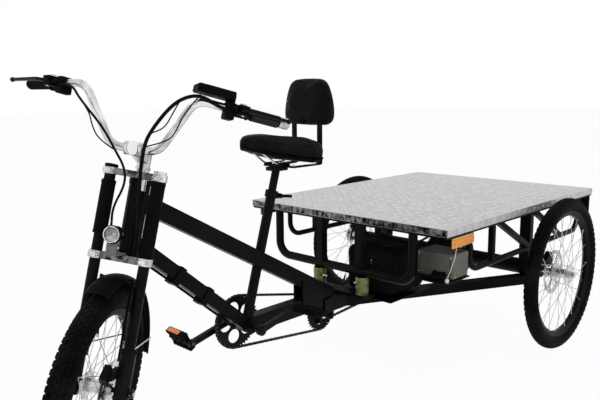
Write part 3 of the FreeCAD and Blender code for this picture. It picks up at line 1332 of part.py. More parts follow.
def backrest_solid():
    """Backrest cushion: a rounded trapezoid with drawn-in sides and a crowned front."""
    outline = [(84, 133), (104, 147), (109, 168), (107, 200), (97, 240), (83, 270), (72, 282), (58, 290)]
    outline = outline + [(-y, z) for y, z in reversed(outline)]
    middle = 214.0
    layers = [(-178, 0.93), (-172, 0.99), (-164, 1.0), (-152, 1.0), (-144, 0.97), (-137, 0.86)]
    rings = []
    for x, share in layers:
        points = [on_seat(x, y * share, middle + (z - middle) * share) for y, z in outline]
        rings.append(Part.makePolygon(points + points[:1]))
    return Part.makeLoft(rings, True, False)


def main():
    """Build every sub-part, check it and write its file."""
    build_wheels()
    build_front_frame()
    build_deck(build_chassis())
    build_equipment()
    build_drive()
    build_fork()
    build_cockpit()
    build_seat()
    doc.recompute()
    for obj in doc.Objects:
        if "Invalid" in obj.State or "Error" in obj.State:
            raise RuntimeError("%s (%s): %s" % (obj.Name, obj.Label, obj.State))
    os.makedirs("parts", exist_ok=True)
    for label, obj in NODES.items():
        if not obj.Shape.isValid() or obj.Shape.Volume <= 0:
            raise RuntimeError(label + " has no valid solid")
        obj.Shape.exportStep(os.path.join("parts", label + ".step"))
        print("%-20s %d solids %10.0f mm3" % (label, len(obj.Shape.Solids), obj.Shape.Volume))
    print(len(NODES), "sub-parts, centre_x %.4f, hub_reach %.4f" % (centre_x, hub_reach))


main()
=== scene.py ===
"""Looks of a flat-bed cargo tricycle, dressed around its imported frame."""

import logging
import math
from dataclasses import dataclass
from enum import Enum
from typing import Callable, Sequence

import bmesh
import bpy
from bmesh.types import BMesh
from bpy.types import Material, Mesh, Node, NodeSocket, NodeTree, Object
from mathutils import Matrix, Vector
from mathutils.bvhtree import BVHTree


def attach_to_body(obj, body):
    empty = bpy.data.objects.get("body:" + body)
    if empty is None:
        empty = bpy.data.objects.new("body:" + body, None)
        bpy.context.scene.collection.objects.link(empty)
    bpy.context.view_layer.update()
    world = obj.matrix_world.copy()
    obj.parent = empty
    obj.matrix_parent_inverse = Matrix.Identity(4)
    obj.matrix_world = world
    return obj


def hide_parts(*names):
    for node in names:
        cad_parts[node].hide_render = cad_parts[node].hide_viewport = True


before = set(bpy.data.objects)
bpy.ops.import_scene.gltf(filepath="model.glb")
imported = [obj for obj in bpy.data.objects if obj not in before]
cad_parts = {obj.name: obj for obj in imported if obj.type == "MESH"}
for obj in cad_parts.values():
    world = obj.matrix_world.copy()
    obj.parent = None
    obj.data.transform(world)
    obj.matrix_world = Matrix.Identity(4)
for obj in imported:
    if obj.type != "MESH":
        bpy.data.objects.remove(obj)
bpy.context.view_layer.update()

LOG = logging.getLogger("tricycle")
CENTRE_X = 0.7802211
Point = tuple[float, float, float]
Outline = Sequence[tuple[float, float]]
X, Y, Z = Vector((1.0, 0.0, 0.0)), Vector((0.0, 1.0, 0.0)), Vector((0.0, 0.0, 1.0))
SIDES = {"left": 1, "right": -1}


def from_axle(x: float, y: float, z: float) -> Vector:
    """Point measured forward from the rear axle, in the shared frame."""
    return Vector((x - CENTRE_X, y, z))


def moved(spot: Sequence[float]) -> Matrix:
    """Matrix that moves to a place."""
    return Matrix.Translation(spot)


def turned(degrees: float, axis: str) -> Matrix:
    """Matrix that turns about an axis."""
    return Matrix.Rotation(math.radians(degrees), 4, axis)


def ray(turn: float) -> Vector:
    """Direction in the side view at an angle up from forward."""
    return Vector((math.cos(turn), 0.0, math.sin(turn)))


def disc(radius: float, low: float, high: float) -> Outline:
    """Outline of a plain disc between two heights."""
    return [(0.0, low), (radius, low), (radius, high), (0.0, high)]


def settle(node: Node, values: dict[str, object]) -> None:
    """Set inputs of a shader node by their names."""
    for name, value in values.items():
        node.inputs[name].default_value = value


STEER = (moved(from_axle(1.817, 0.0, 0.0)) @ turned(-14.9, "Y")
         @ turned(37.0, "Z"))
HUB_REACH = 0.2705018
FORK_OFFSET = 0.052
LEG_HALF = 0.069
STEM_FACE = 0.914
REAR_RADIUS = 0.307
DECK_HALF = 0.470
CHAIN_PITCH = 0.0127


def aim(start: Vector, along: Vector, up: Vector = Z) -> Matrix:
    """Frame with local Z along a direction.

    Args:
        start: Origin of the frame.
        along: Direction of local Z.
        up: Direction that local Y comes close to.

    Returns:
        The frame as a matrix.
    """
    z = along.normalized()
    if abs(z.dot(up.normalized())) > 0.99:
        up = X
    x = up.cross(z).normalized()
    y = z.cross(x)
    turn = Matrix((x, y, z)).transposed().to_4x4()
    return moved(start) @ turn


class Grain(Enum):
    """Kinds of small relief on a surface."""

    PAINT = "paint"
    BRUSHED = "brushed"
    PEBBLE = "pebble"
    WEAVE = "weave"
    RUBBER = "rubber"
    PRISM = "prism"
    FLUTE = "flute"


@dataclass(frozen=True)
class Finish:
    """One surface finish with its colours, gloss and relief.

    Colours are linear; scales are in repeats for each metre and depths in metres.
    """

    name: str
    colour: Point
    second: Point
    roughness: float
    metallic: float = 0.0
    grain: Grain = Grain.PAINT
    scale: float = 500.0
    depth: float = 0.00005
    spread: float = 0.08
    patch: float = 9.0
    coat: float = 0.0
    sheen: float = 0.0
    clear: float = 0.0
    shine: float = 0.5
    slot: str = ""

    def material(self) -> Material:
        """Make the finish's material, or return it if it is made already."""
        known = bpy.data.materials.get("finish_" + self.name)
        return known if known else self._build()

    def _build(self) -> Material:
        """Build the node tree: patchy colour, varied gloss and the grain's bump.

        Returns:
            The new material.
        """
        material = bpy.data.materials.new("finish_" + self.name)
        material.use_nodes = True
        tree = material.node_tree
        shader = tree.nodes["Principled BSDF"]
        place = tree.nodes.new("ShaderNodeTexCoord").outputs["Object"]
        clouds = self._noise(tree, place, self.patch, 4.0)
        mix = tree.nodes.new("ShaderNodeMix")
        mix.data_type = "RGBA"
        mix.inputs[6].default_value = (*self.colour, 1.0)
        mix.inputs[7].default_value = (*self.second, 1.0)
        edge = tree.nodes.new("ShaderNodeMapRange")
        settle(edge, {"From Min": 0.38, "From Max": 0.62})
        tree.links.new(clouds, edge.inputs["Value"])
        tree.links.new(edge.outputs["Result"], mix.inputs[0])
        tree.links.new(mix.outputs[2], shader.inputs["Base Color"])
        gloss = tree.nodes.new("ShaderNodeMapRange")
        settle(gloss, {"From Min": 0.3, "From Max": 0.7, "To Min": max(0.03, self.roughness - self.spread),
                       "To Max": min(1.0, self.roughness + self.spread)})
        tree.links.new(self._noise(tree, place, self.patch * 6.0, 3.0), gloss.inputs["Value"])
        tree.links.new(gloss.outputs["Result"], shader.inputs["Roughness"])
        bump = tree.nodes.new("ShaderNodeBump")
        settle(bump, {"Strength": 1.0, "Distance": self.depth})
        tree.links.new(self._relief(tree, place), bump.inputs["Height"])
        tree.links.new(bump.outputs["Normal"], shader.inputs["Normal"])
        settle(shader, {"Metallic": self.metallic, "Coat Weight": self.coat, "Coat Roughness": 0.08,
                        "Sheen Weight": self.sheen, "Alpha": 1.0 - self.clear, "Specular IOR Level": self.shine})
        return material

    @staticmethod
    def _noise(tree: NodeTree, place: NodeSocket, scale: float, detail: float) -> NodeSocket:
        """Add a noise texture and return its factor."""
        noise = tree.nodes.new("ShaderNodeTexNoise")
        settle(noise, {"Scale": scale, "Detail": detail})
        tree.links.new(place, noise.inputs["Vector"])
        return noise.outputs["Fac"]

    def _relief(self, tree: NodeTree, place: NodeSocket) -> NodeSocket:
        """Add the grain's height pattern.

        Args:
            tree: Node tree to add to.
            place: Object coordinates.

        Returns:
            The height socket.
        """
        if self.grain in (Grain.PAINT, Grain.RUBBER):
            return self._noise(tree, place, self.scale, 2.0 if self.grain is Grain.PAINT else 6.0)
        if self.grain is Grain.BRUSHED:
            stretch = tree.nodes.new("ShaderNodeMapping")
            stretch.inputs["Scale"].default_value = (0.05, 1.0, 0.6)
            tree.links.new(place, stretch.inputs["Vector"])
            return self._noise(tree, stretch.outputs["Vector"], self.scale, 3.0)
        if self.grain in (Grain.PEBBLE, Grain.PRISM):
            cells = tree.nodes.new("ShaderNodeTexVoronoi")
            settle(cells, {"Scale": self.scale})
            if self.grain is Grain.PEBBLE:
                cells.feature = "SMOOTH_F1"
            else:
                cells.distance = "CHEBYCHEV"
                settle(cells, {"Randomness": 0.0})
            tree.links.new(place, cells.inputs["Vector"])
            return cells.outputs["Distance"]
        if self.grain is Grain.FLUTE:
            return self._wave(tree, place, "Y")
        cross = tree.nodes.new("ShaderNodeMath")
        cross.operation = "MAXIMUM"
        for index, axis in enumerate(("X", "Z")):
            tree.links.new(self._wave(tree, place, axis), cross.inputs[index])
        return cross.outputs["Value"]

    def _wave(self, tree: NodeTree, place: NodeSocket, axis: str) -> NodeSocket:
        """Add bands along one axis and return their factor."""
        wave = tree.nodes.new("ShaderNodeTexWave")
        wave.bands_direction = axis
        settle(wave, {"Scale": self.scale, "Distortion": 0.6})
        tree.links.new(place, wave.inputs["Vector"])
        return wave.outputs["Fac"]


BLACK, SOOT, COAL = (0.0025, 0.0025, 0.0027), (0.0045, 0.0045, 0.0048), (0.008, 0.008, 0.0085)

FRAME_PAINT = Finish("frame_paint", BLACK, SOOT, 0.40, depth=0.00006, scale=420.0, shine=0.06, slot="frame_paint")
RIM_PAINT = Finish("rim_paint", SOOT, COAL, 0.36, shine=0.05, slot="rim")
BRIGHT_STEEL = Finish("bright_steel", (0.66, 0.66, 0.67), (0.42, 0.42, 0.43), 0.22, 1.0,
                      Grain.BRUSHED, 900.0, 0.00002, patch=45.0, slot="bright_steel")
SILVER_ALLOY = Finish("silver_alloy", (0.78, 0.78, 0.79), (0.50, 0.50, 0.51), 0.18, 1.0,
                      Grain.BRUSHED, 700.0, 0.00002, patch=32.0, slot="alloy")
# Crowns: silver cast alloy given a near-black to grey mottle, which is painted shade and painted reflection.
CAST_PAINTED_SHADE = Finish("cast_painted_shade", (0.010, 0.010, 0.011), (0.22, 0.22, 0.23), 0.34, 1.0, Grain.PAINT, 700.0, 0.00006,
                   patch=60.0, slot="alloy")
TREAD_ALLOY = Finish("tread_alloy", (0.57, 0.575, 0.57), (0.475, 0.48, 0.47), 0.46, 1.0,
                     Grain.BRUSHED, 420.0, 0.00008, spread=0.10, patch=38.0, slot="tread_plate")
# Lighter, glossier copy of the tread alloy for the raised lozenges on top: the gloss is the crests' own, the lighter
# colour a painted highlight.
TREAD_CREST_PAINTED_HIGHLIGHT = Finish("tread_crest_painted_highlight", (0.76, 0.765, 0.76), (0.56, 0.565, 0.56), 0.28, 1.0,
                     Grain.BRUSHED, 420.0, 0.00006, spread=0.10, patch=60.0, slot="tread_plate")
# Near-black to grey mottle for the deck's front lip: painted shade, with its lighter flecks as painted reflections.
TREAD_PAINTED_SHADE = Finish("tread_painted_shade", (0.003, 0.003, 0.003), (0.22, 0.22, 0.225), 0.30, 1.0,
                     Grain.BRUSHED, 300.0, 0.0002, spread=0.15, patch=60.0, slot="tread_plate")
BLACK_ALLOY = Finish("black_alloy", SOOT, COAL, 0.36, shine=0.06, slot="black_alloy")
CASE_PAINT = Finish("case_paint", (0.075, 0.078, 0.058), (0.095, 0.098, 0.078), 0.42, 0.15, Grain.PAINT, 380.0,
                    0.00008, slot="case")
CHAIN_STEEL = Finish("chain_steel", (0.060, 0.058, 0.055), (0.030, 0.029, 0.028), 0.40, 0.8, Grain.PAINT, 800.0,
                     0.00005, slot="chain_steel")
BLACK_PLASTIC = Finish("black_plastic", BLACK, SOOT, 0.58, scale=900.0, depth=0.00003, shine=0.03,
                       slot="black_plastic")
GLOSS_BLACK = Finish("gloss_black", (0.004, 0.004, 0.004), (0.006, 0.006, 0.007), 0.16, scale=300.0, depth=0.00002,
                     spread=0.05, shine=0.05, slot="black_plastic")
GREY_PLASTIC = Finish("grey_plastic", (0.16, 0.16, 0.16), (0.12, 0.12, 0.12), 0.5, scale=900.0, depth=0.00008,
                      slot="black_plastic")
GRIP_RUBBER = Finish("grip_rubber", SOOT, COAL, 0.68, 0.0, Grain.RUBBER, 1100.0, 0.0001, shine=0.05,
                     slot="black_rubber")
# Grey for one side of the left grip: a painted highlight of its lit side.
GRIP_PAINTED_HIGHLIGHT = Finish("grip_painted_highlight", (0.022, 0.022, 0.022), (0.032, 0.032, 0.032), 0.66, 0.0, Grain.RUBBER, 1100.0, 0.0001,
                   shine=0.08, slot="black_rubber")
TYRE_RUBBER = Finish("tyre_rubber", BLACK, COAL, 0.70, 0.0, Grain.RUBBER, 700.0, 0.00018, patch=14.0, shine=0.04,
                     slot="tyre")
CABLE_SKIN = Finish("cable_skin", BLACK, SOOT, 0.46, 0.0, Grain.RUBBER, 600.0, 0.00004, shine=0.05,
                    slot="black_rubber")
SEAT_VINYL = Finish("seat_vinyl", BLACK, COAL, 0.50, 0.0, Grain.PEBBLE, 420.0, 0.00022, shine=0.06,
                    slot="seat_cover")
BAG_CLOTH = Finish("bag_cloth", BLACK, COAL, 0.66, 0.0, Grain.WEAVE, 260.0, 0.00025, shine=0.03,
                   slot="bag_cloth")
BUFFER_RUBBER = Finish("buffer_rubber", (0.085, 0.090, 0.013), (0.15, 0.155, 0.030), 0.30, scale=160.0, depth=0.00015,
                       coat=0.2, slot="buffer")
AMBER_LENS = Finish("amber_lens", (0.86, 0.25, 0.010), (0.92, 0.33, 0.02), 0.22, 0.0, Grain.PRISM, 260.0, 0.0009,
                    spread=0.05, slot="amber")
AMBER_RIM = Finish("amber_rim", (0.88, 0.48, 0.12), (0.80, 0.42, 0.10), 0.35, scale=600.0, slot="amber")
LAMP_GLASS = Finish("lamp_glass", (0.96, 0.97, 0.98), (0.92, 0.94, 0.96), 0.03, 0.0, Grain.FLUTE, 55.0, 0.00004,
                    spread=0.02, clear=0.86, slot="lens")
LEAD_SKIN = Finish("lead_skin", (0.42, 0.30, 0.27), (0.60, 0.54, 0.50), 0.5, scale=700.0, slot="black_rubber")
WHITE_PLASTIC = Finish("white_plastic", (0.80, 0.80, 0.78), (0.72, 0.72, 0.70), 0.40, scale=900.0, depth=0.00006,
                       slot="black_plastic")
MIRROR_CHROME = Finish("mirror_chrome", (0.84, 0.84, 0.85), (0.76, 0.76, 0.77), 0.09, 1.0,
                       Grain.PAINT, 200.0, 0.00001, spread=0.03, slot="bright_steel")

DRESS: dict[Finish, tuple[str, ...]] = {
    FRAME_PAINT: ("head_tube", "main_beam", "down_tube", "seat_tube", "chain_stay", "rear_chassis", "axle_housing",
                  "deck_frame", "front_hoop", "side_truss_left", "side_truss_right", "seat_collar", "seat_lever",
                  "seat_post", "stanchions"),
    RIM_PAINT: ("front_rim", "rear_rim_left", "rear_rim_right"),
    BRIGHT_STEEL: ("front_hub", "rear_hub_left", "rear_hub_right", "mudguard_stays"),
    SILVER_ALLOY: ("stem", "handlebar"),
    # Crowns in painted shade and painted reflection over their alloy.
    CAST_PAINTED_SHADE: ("upper_crown", "lower_crown"),
    TREAD_ALLOY: ("deck_plate",),
    BLACK_ALLOY: ("front_caliper", "drive_unit", "brake_lever_left", "brake_lever_right", "cranks", "chainring",
                  "jackshaft", "axle_sprocket", "fork_sliders"),
    CASE_PAINT: ("controller_box",),
    BLACK_PLASTIC: ("fork_covers", "bar_controls", "display"),
    CABLE_SKIN: ("frame_cable",),
}


def dress_frame() -> None:
    """Give every carried-over solid its finish."""
    for finish, names in DRESS.items():
        for name in names:
            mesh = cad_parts[name].data
            mesh.materials.clear()
            mesh.materials.append(finish.material())
            LOG.info("%s wears %s", name, finish.name)


@dataclass
class Studio:
    """Camera at the photograph's angle, soft light and a pale floor."""

    eye: Vector
    yaw: float = -2.37334
    pitch: float = -0.165105
    roll: float = -0.00952
    lens: float = 39.916
    soft_light: float = 0.50
    floor_white: float = 0.96

    def build(self) -> None:
        """Add the camera, the lamps, the world and the floor."""
        self._camera()
        self._world()
        self._lamp("key", (2.6, 3.4, 4.2), (0.0, 0.0, 0.5), 3.0, 95.0)
        self._lamp("fill", (3.6, -2.4, 2.6), (0.4, 0.0, 0.6), 2.5, 40.0)
        self._lamp("back", (-3.4, -1.6, 3.6), (-0.2, 0.0, 0.5), 3.0, 45.0)
        self._floor()
        bpy.context.scene.view_settings.view_transform = "Standard"

    def _camera(self) -> None:
        """Add the camera with the photograph's pose and field of view."""
        data = bpy.data.cameras.new("photo_camera")
        data.sensor_fit = "HORIZONTAL"
        data.sensor_width = 36.0
        data.lens = self.lens
        data.clip_end = 100.0
        ahead = Vector((math.cos(self.yaw) * math.cos(self.pitch), math.sin(self.yaw) * math.cos(self.pitch),
                        math.sin(self.pitch)))
        right = Vector((math.sin(self.yaw), -math.cos(self.yaw), 0.0))
        up = right.cross(ahead)
        c, s = math.cos(self.roll), math.sin(self.roll)
        right, up = right * c + up * s, up * c - right * s
        turn = Matrix((right, up, -ahead)).transposed().to_4x4()
        camera = bpy.data.objects.new("photo_camera", data)
        camera.matrix_world = moved(self.eye) @ turn
        bpy.context.scene.collection.objects.link(camera)
        bpy.context.scene.camera = camera

    @staticmethod
    def _lamp(name: str, where: Point, target: Point, size: float, power: float) -> None:
        """Add a square soft lamp that faces a target."""
        data = bpy.data.lights.new(name, "AREA")
        data.size = size
        data.energy = power
        lamp = bpy.data.objects.new(name, data)
        lamp.matrix_world = aim(Vector(where), Vector(where) - Vector(target))
        lamp.visible_glossy = False
        bpy.context.scene.collection.objects.link(lamp)

    @staticmethod
    def _seen_white(tree: NodeTree) -> NodeSocket:
        """Add the share of camera, glossy and transmission rays, which see plain white."""
        rays = tree.nodes.new("ShaderNodeLightPath")
        total = rays.outputs["Is Camera Ray"]
        for kind in ("Is Glossy Ray", "Is Transmission Ray"):
            add = tree.nodes.new("ShaderNodeMath")
            add.operation = "MAXIMUM"
            tree.links.new(total, add.inputs[0])
            tree.links.new(rays.outputs[kind], add.inputs[1])
            total = add.outputs["Value"]
        return total

    def _world(self) -> None:
        """Make a world that lights softly and looks white."""
        world = bpy.data.worlds.new("studio")
        world.use_nodes = True
        tree = world.node_tree
        soft = tree.nodes["Background"]
        white = tree.nodes.new("ShaderNodeBackground")
        for shade, strength in ((soft, self.soft_light), (white, 1.0)):
            settle(shade, {"Color": (1.0, 1.0, 1.0, 1.0), "Strength": strength})
        mix = tree.nodes.new("ShaderNodeMixShader")
        tree.links.new(self._seen_white(tree), mix.inputs[0])
        tree.links.new(soft.outputs[0], mix.inputs[1])
        tree.links.new(white.outputs[0], mix.inputs[2])
        tree.links.new(mix.outputs[0], tree.nodes["World Output"].inputs["Surface"])
        bpy.context.scene.world = world

    def _floor(self) -> None:
        """Lay a wide pale floor that keeps a faint shadow of the object."""
        mesh = bpy.data.meshes.new("floor")
        form = bmesh.new()
        bmesh.ops.create_grid(form, x_segments=1, y_segments=1, size=30.0)
        form.to_mesh(mesh)
        form.free()
        material = bpy.data.materials.new("pale_floor")
        material.use_nodes = True
        tree = material.node_tree
        shader = tree.nodes["Principled BSDF"]
        settle(shader, {"Base Color": (0.90, 0.90, 0.90, 1.0), "Roughness": 0.9, "Specular IOR Level": 0.0})
        white = tree.nodes.new("ShaderNodeEmission")
        settle(white, {"Strength": 1.0})
        share = tree.nodes.new("ShaderNodeMath")
        share.operation = "MULTIPLY"
        share.inputs[1].default_value = self.floor_white
        mix = tree.nodes.new("ShaderNodeMixShader")
        tree.links.new(self._seen_white(tree), share.inputs[0])
        tree.links.new(share.outputs["Value"], mix.inputs[0])
        tree.links.new(shader.outputs["BSDF"], mix.inputs[1])
        tree.links.new(white.outputs["Emission"], mix.inputs[2])
        tree.links.new(mix.outputs[0], tree.nodes["Material Output"].inputs["Surface"])
        mesh.materials.append(material)
        floor = bpy.data.objects.new("floor", mesh)
        bpy.context.scene.collection.objects.link(floor)


def spline(name: str, points: Sequence[Vector], radius: float, cyclic: bool = False, sides: int = 3) -> Object:
    """Make a round tube along a smooth line.

    Args:
        name: Name of the curve.
        points: Control points of the line.
        radius: Radius of the tube.
        cyclic: Whether the line closes on itself.
        sides: Resolution of the round section.

    Returns:
        The curve object, not linked yet.
    """
    data = bpy.data.curves.new(name, "CURVE")
    data.dimensions = "3D"
    line = data.splines.new("NURBS")
    line.points.add(len(points) - 1)
    for spot, point in zip(line.points, points):
        spot.co = (*point, 1.0)
    line.use_cyclic_u = cyclic
    line.order_u = 3
    line.use_endpoint_u = not cyclic
    line.resolution_u = 6
    data.bevel_depth = radius
    data.bevel_resolution = sides
    data.use_fill_caps = not cyclic
    return bpy.data.objects.new(name, data)


def scaled(x: float, y: float, z: float) -> Matrix:
    """Matrix that stretches along the three axes."""
    return Matrix.Diagonal((x, y, z, 1.0))


def round_edges(part: BMesh, bevel: float, segments: int = 2) -> None:
    """Round all edges of a form."""
    bmesh.ops.bevel(part, geom=part.edges[:], offset=bevel, segments=segments, profile=0.5, affect="EDGES",
                    material=-1, clamp_overlap=True)


def sector(wall: Sequence[Point], steps: int, thickness: float, degrees: float = 150.0) -> BMesh:
    """Sweep a line part of the way about local Z into a thin wall.

    Args:
        wall: Points of the line.
        steps: Number of faces round the sweep.
        thickness: Thickness of the wall.
        degrees: Angle of the sweep.

    Returns:
        The wall.
    """
    part = bmesh.new()
    spots = [part.verts.new(spot) for spot in wall]
    edges = [part.edges.new(pair) for pair in zip(spots, spots[1:])]
    bmesh.ops.spin(part, geom=spots + edges, axis=Z, cent=(0.0, 0.0, 0.0), angle=math.radians(degrees), steps=steps)
    bmesh.ops.solidify(part, geom=part.faces[:], thickness=thickness)
    bmesh.ops.recalc_face_normals(part, faces=part.faces)
    return part


class Work:
    """A mesh in the making, put together from simple worked forms."""

    def __init__(self, name: str, *finishes: Finish) -> None:
        """Start an empty mesh.

        Args:
            name: Name of the piece.
            finishes: Its finishes, which the paint numbers count.
        """
        self.name = name
        self.finishes = finishes
        self.form = bmesh.new()

    def take(self, part: BMesh, place: Matrix = Matrix(), paint: int = 0) -> None:
        """Move a finished form into the mesh.

        Args:
            part: The form, which is freed.
            place: Where it goes.
            paint: Number of its finish.
        """
        for face in part.faces:
            face.material_index = paint
            face.smooth = True
        kept = bpy.data.meshes.new("kept")
        part.to_mesh(kept)
        part.free()
        kept.transform(place)
        self.form.from_mesh(kept)
        bpy.data.meshes.remove(kept)

    def lathe(self, outline: Outline, place: Matrix = Matrix(), paint: int = 0, steps: int = 40) -> None:
        """Spin an outline of radius and height about local Z."""
        part = bmesh.new()
        spots = [part.verts.new((radius, 0.0, height)) for radius, height in outline]
        ends = [(a, b) for a, b in zip(spots, spots[1:])]
        if outline[0][0] > 0.0 or outline[-1][0] > 0.0:
            ends.append((spots[-1], spots[0]))
        for pair in ends:
            part.edges.new(pair)
        bmesh.ops.spin(part, geom=part.verts[:] + part.edges[:], axis=Z, cent=(0.0, 0.0, 0.0), angle=math.tau,
                       steps=steps, use_merge=True)
        bmesh.ops.remove_doubles(part, verts=part.verts, dist=1e-6)
        bmesh.ops.recalc_face_normals(part, faces=part.faces)
        self.take(part, place, paint)

    def rod(self, start: Vector, end: Vector, radius: float, paint: int = 0, sides: int = 14,
            tip: float = 0.0) -> None:
        """Add a round bar between two points, tapered where a tip radius is given."""
        part = bmesh.new()
        bmesh.ops.create_cone(part, cap_ends=True, segments=sides, radius1=radius, radius2=tip or radius,
                              depth=(end - start).length)
        self.take(part, aim((start + end) / 2, end - start), paint)

    def block(self, size: Point, place: Matrix, bevel: float = 0.001, paint: int = 0, segments: int = 2) -> None:
        """Add a block with rounded edges, centred on its place."""
        part = bmesh.new()
        bmesh.ops.create_cube(part, size=1.0, matrix=scaled(*size))
        round_edges(part, bevel, segments)
        self.take(part, place, paint)

    def prism(self, outline: Outline, depth: float, place: Matrix, bevel: float = 0.0, paint: int = 0) -> None:
        """Extrude a flat outline along local Z, with its edges rounded where a bevel is given."""
        part = bmesh.new()
        face = part.faces.new([part.verts.new((x, y, 0.0)) for x, y in outline])
        grown = bmesh.ops.extrude_face_region(part, geom=[face])["geom"]
        tops = [item for item in grown if isinstance(item, bmesh.types.BMVert)]
        bmesh.ops.translate(part, vec=Z * depth, verts=tops)
        bmesh.ops.recalc_face_normals(part, faces=part.faces)
        if bevel:
            round_edges(part, bevel)
        self.take(part, place, paint)

    def wire(self, points: Sequence[Vector], radius: float, place: Matrix = Matrix(), paint: int = 0,
             cyclic: bool = False) -> None:
        """Add a round wire along a smooth line."""
        line = spline("line", points, radius, cyclic, 2)
        mesh = bpy.data.meshes.new_from_object(line)
        part = bmesh.new()
        part.from_mesh(mesh)
        self.take(part, place, paint)
        bpy.data.objects.remove(line)
        bpy.data.meshes.remove(mesh)

    def around(self, part: BMesh, count: int, place: Matrix = Matrix(), paint: int = 0) -> None:
        """Repeat a form evenly about local Z."""
        bmesh.ops.spin(part, geom=part.verts[:] + part.edges[:] + part.faces[:], axis=Z, cent=(0.0, 0.0, 0.0),
                       angle=math.tau * (count - 1) / count, steps=count - 1, use_duplicate=True)
        self.take(part, place, paint)

    def bolt(self, place: Matrix, radius: float, height: float, paint: int = 0) -> None:
        """Add a socket-head bolt on a surface whose outside is local Z."""
        wall, floor = radius * 0.55, height * 0.45
        self.lathe([(0.0, floor), (wall, floor), (wall, height), (radius * 0.9, height), (radius, height * 0.85),
                    (radius, -0.0005), (0.0, -0.0005)], place, paint, 18)

    def build(self, body: str, *nodes: str, crease: float = 38.0) -> Object:
        """Turn the work into a piece of the tricycle.

        Args:
            body: Moving body that carries it.
            nodes: Solids that it stands in for.
            crease: Angle in degrees from which edges stay sharp.

        Returns:
            The finished object.
        """
        mesh = bpy.data.meshes.new(self.name)
        self.form.to_mesh(mesh)
        self.form.free()
        mesh.set_sharp_from_angle(angle=math.radians(crease))
        return place_mesh(mesh, body, nodes, self.finishes)


def attach(piece: Object, body: str, nodes: Sequence[str]) -> None:
    """Link a piece, tie it to its body and say what it stands in for.

    Args:
        piece: The piece.
        body: Moving body that carries it.
        nodes: Solids that it stands in for.
    """
    bpy.context.scene.collection.objects.link(piece)
    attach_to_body(piece, body)
    if nodes:
        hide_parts(*nodes)


def place_mesh(mesh: Mesh, body: str, nodes: Sequence[str], finishes: Sequence[Finish]) -> Object:
    """Link a finished mesh and tie it to its body.

    Args:
        mesh: The mesh, which gives the piece its name.
        body: Moving body that carries it.
        nodes: Solids that it stands in for.
        finishes: Its finishes in order.

    Returns:
        The linked object.
    """
    for finish in finishes:
        mesh.materials.append(finish.material())
    piece = bpy.data.objects.new(mesh.name, mesh)
    attach(piece, body, nodes)
    LOG.info("%s rides on %s", mesh.name, body)
    return piece


def grip_frame(sign: int) -> Matrix:
    """Frame at a bar end: local Z outward along the grip and local X forward."""
    end, knee = Vector((-0.012, 0.377 * sign, 1.054)), Vector((0.121, 0.151 * sign, 1.062))
    return STEER @ aim(end, end - knee, Z * -sign)


def lay_cord(name: str, points: Sequence[Vector], radius: float, finish: Finish, body: str,
             nodes: Sequence[str] = ()) -> Object:
    """Lay a free cord that starts and ends in the object.

    Args:
        name: Name of the cord.
        points: Control points of its line.
        radius: Its radius.
        finish: Its finish.
        body: Moving body that carries it.
        nodes: Solids that it stands in for.

    Returns:
        The curve object.
    """
    cable = spline(name, points, radius)
    cable.data.materials.append(finish.material())
    attach(cable, body, nodes)
    bare = spline("bare", points, 0.0)
    mesh = bpy.data.meshes.new_from_object(bare)
    bpy.data.objects.remove(bare)
    bpy.data.meshes.remove(mesh)
    return cable


@dataclass
class BarCables:
    """Cable runs from both hands to the lower crown, with the thin loops beside them.

    Stations are in millimetres, along the turned steering's own axes.
    """

    right: Sequence[Point] = ((128, -178, 1046), (150, -148, 1018), (138, -75, 953), (128, -36, 900), (112, -8, 859),
                              (100, -4, 815), (84, -34, 749), (60, -36, 700), (60, -36, 630))
    left: Sequence[Point] = ((132, 163, 1076), (150, 121, 1056), (160, 91, 1017), (146, 52, 954), (134, 41, 920),
                             (112, 34, 867), (94, 34, 809), (80, 38, 743), (58, 38, 690), (58, 38, 630))
    loops: Sequence[Sequence[Point]] = (
        ((150, -148, 1018), (162, -109, 988), (168, -91, 949), (158, -70, 917), (128, -36, 900)),
        ((132, 163, 1076), (158, 135, 1014), (155, 126, 974), (146, 105, 941), (134, 41, 920)),
        ((150, 121, 1056), (165, 111, 1014), (165, 99, 979), (158, 79, 964), (146, 52, 954)))

    def build(self) -> None:
        """Lay the two bundles and the loops that leave them."""
        for side, sign in SIDES.items():
            radius = 0.0050 if sign > 0 else 0.0032
            place = grip_frame(sign)
            exits = [place @ Vector((0.0131 + radius, 0.006 * sign, height)) for height in (-0.185, -0.201)]
            route = exits + self._line(self.left if sign > 0 else self.right)
            lay_cord("bar_cable_" + side, route, radius, CABLE_SKIN,
                     "steering", ["bar_cables"] if sign > 0 else [])
        for index, loop in enumerate(self.loops):
            lay_cord("bar_loop_%d" % index, self._line(loop), 0.0018, CABLE_SKIN, "steering")

    @staticmethod
    def _line(stations: Sequence[Point]) -> list[Vector]:
        """Stations in the shared frame."""
        return [STEER @ (Vector(station) / 1000.0) for station in stations]


class Tread(Enum):
    """Tread patterns: blocks as (turn, phase, length, width, height, slant) with turns in degrees."""

    KNOBS = ((8, 0.0, 0.015, 0.011, 0.0042, 0), (-8, 0.5, 0.015, 0.011, 0.0042, 0),
             (31, 0.3, 0.015, 0.011, 0.0042, 12), (-31, 0.8, 0.015, 0.011, 0.0042, -12),
             (56, 0.0, 0.016, 0.011, 0.0040, 0), (-56, 0.5, 0.016, 0.011, 0.0040, 0))
    ROAD = ((10, 0.0, 0.021, 0.0075, 0.0026, 18), (-10, 0.5, 0.021, 0.0075, 0.0026, -18),
            (30, 0.25, 0.021, 0.0085, 0.0026, 24), (-30, 0.75, 0.021, 0.0085, 0.0026, -24),
            (52, 0.0, 0.017, 0.0085, 0.0024, 0), (-52, 0.5, 0.017, 0.0085, 0.0024, 0))


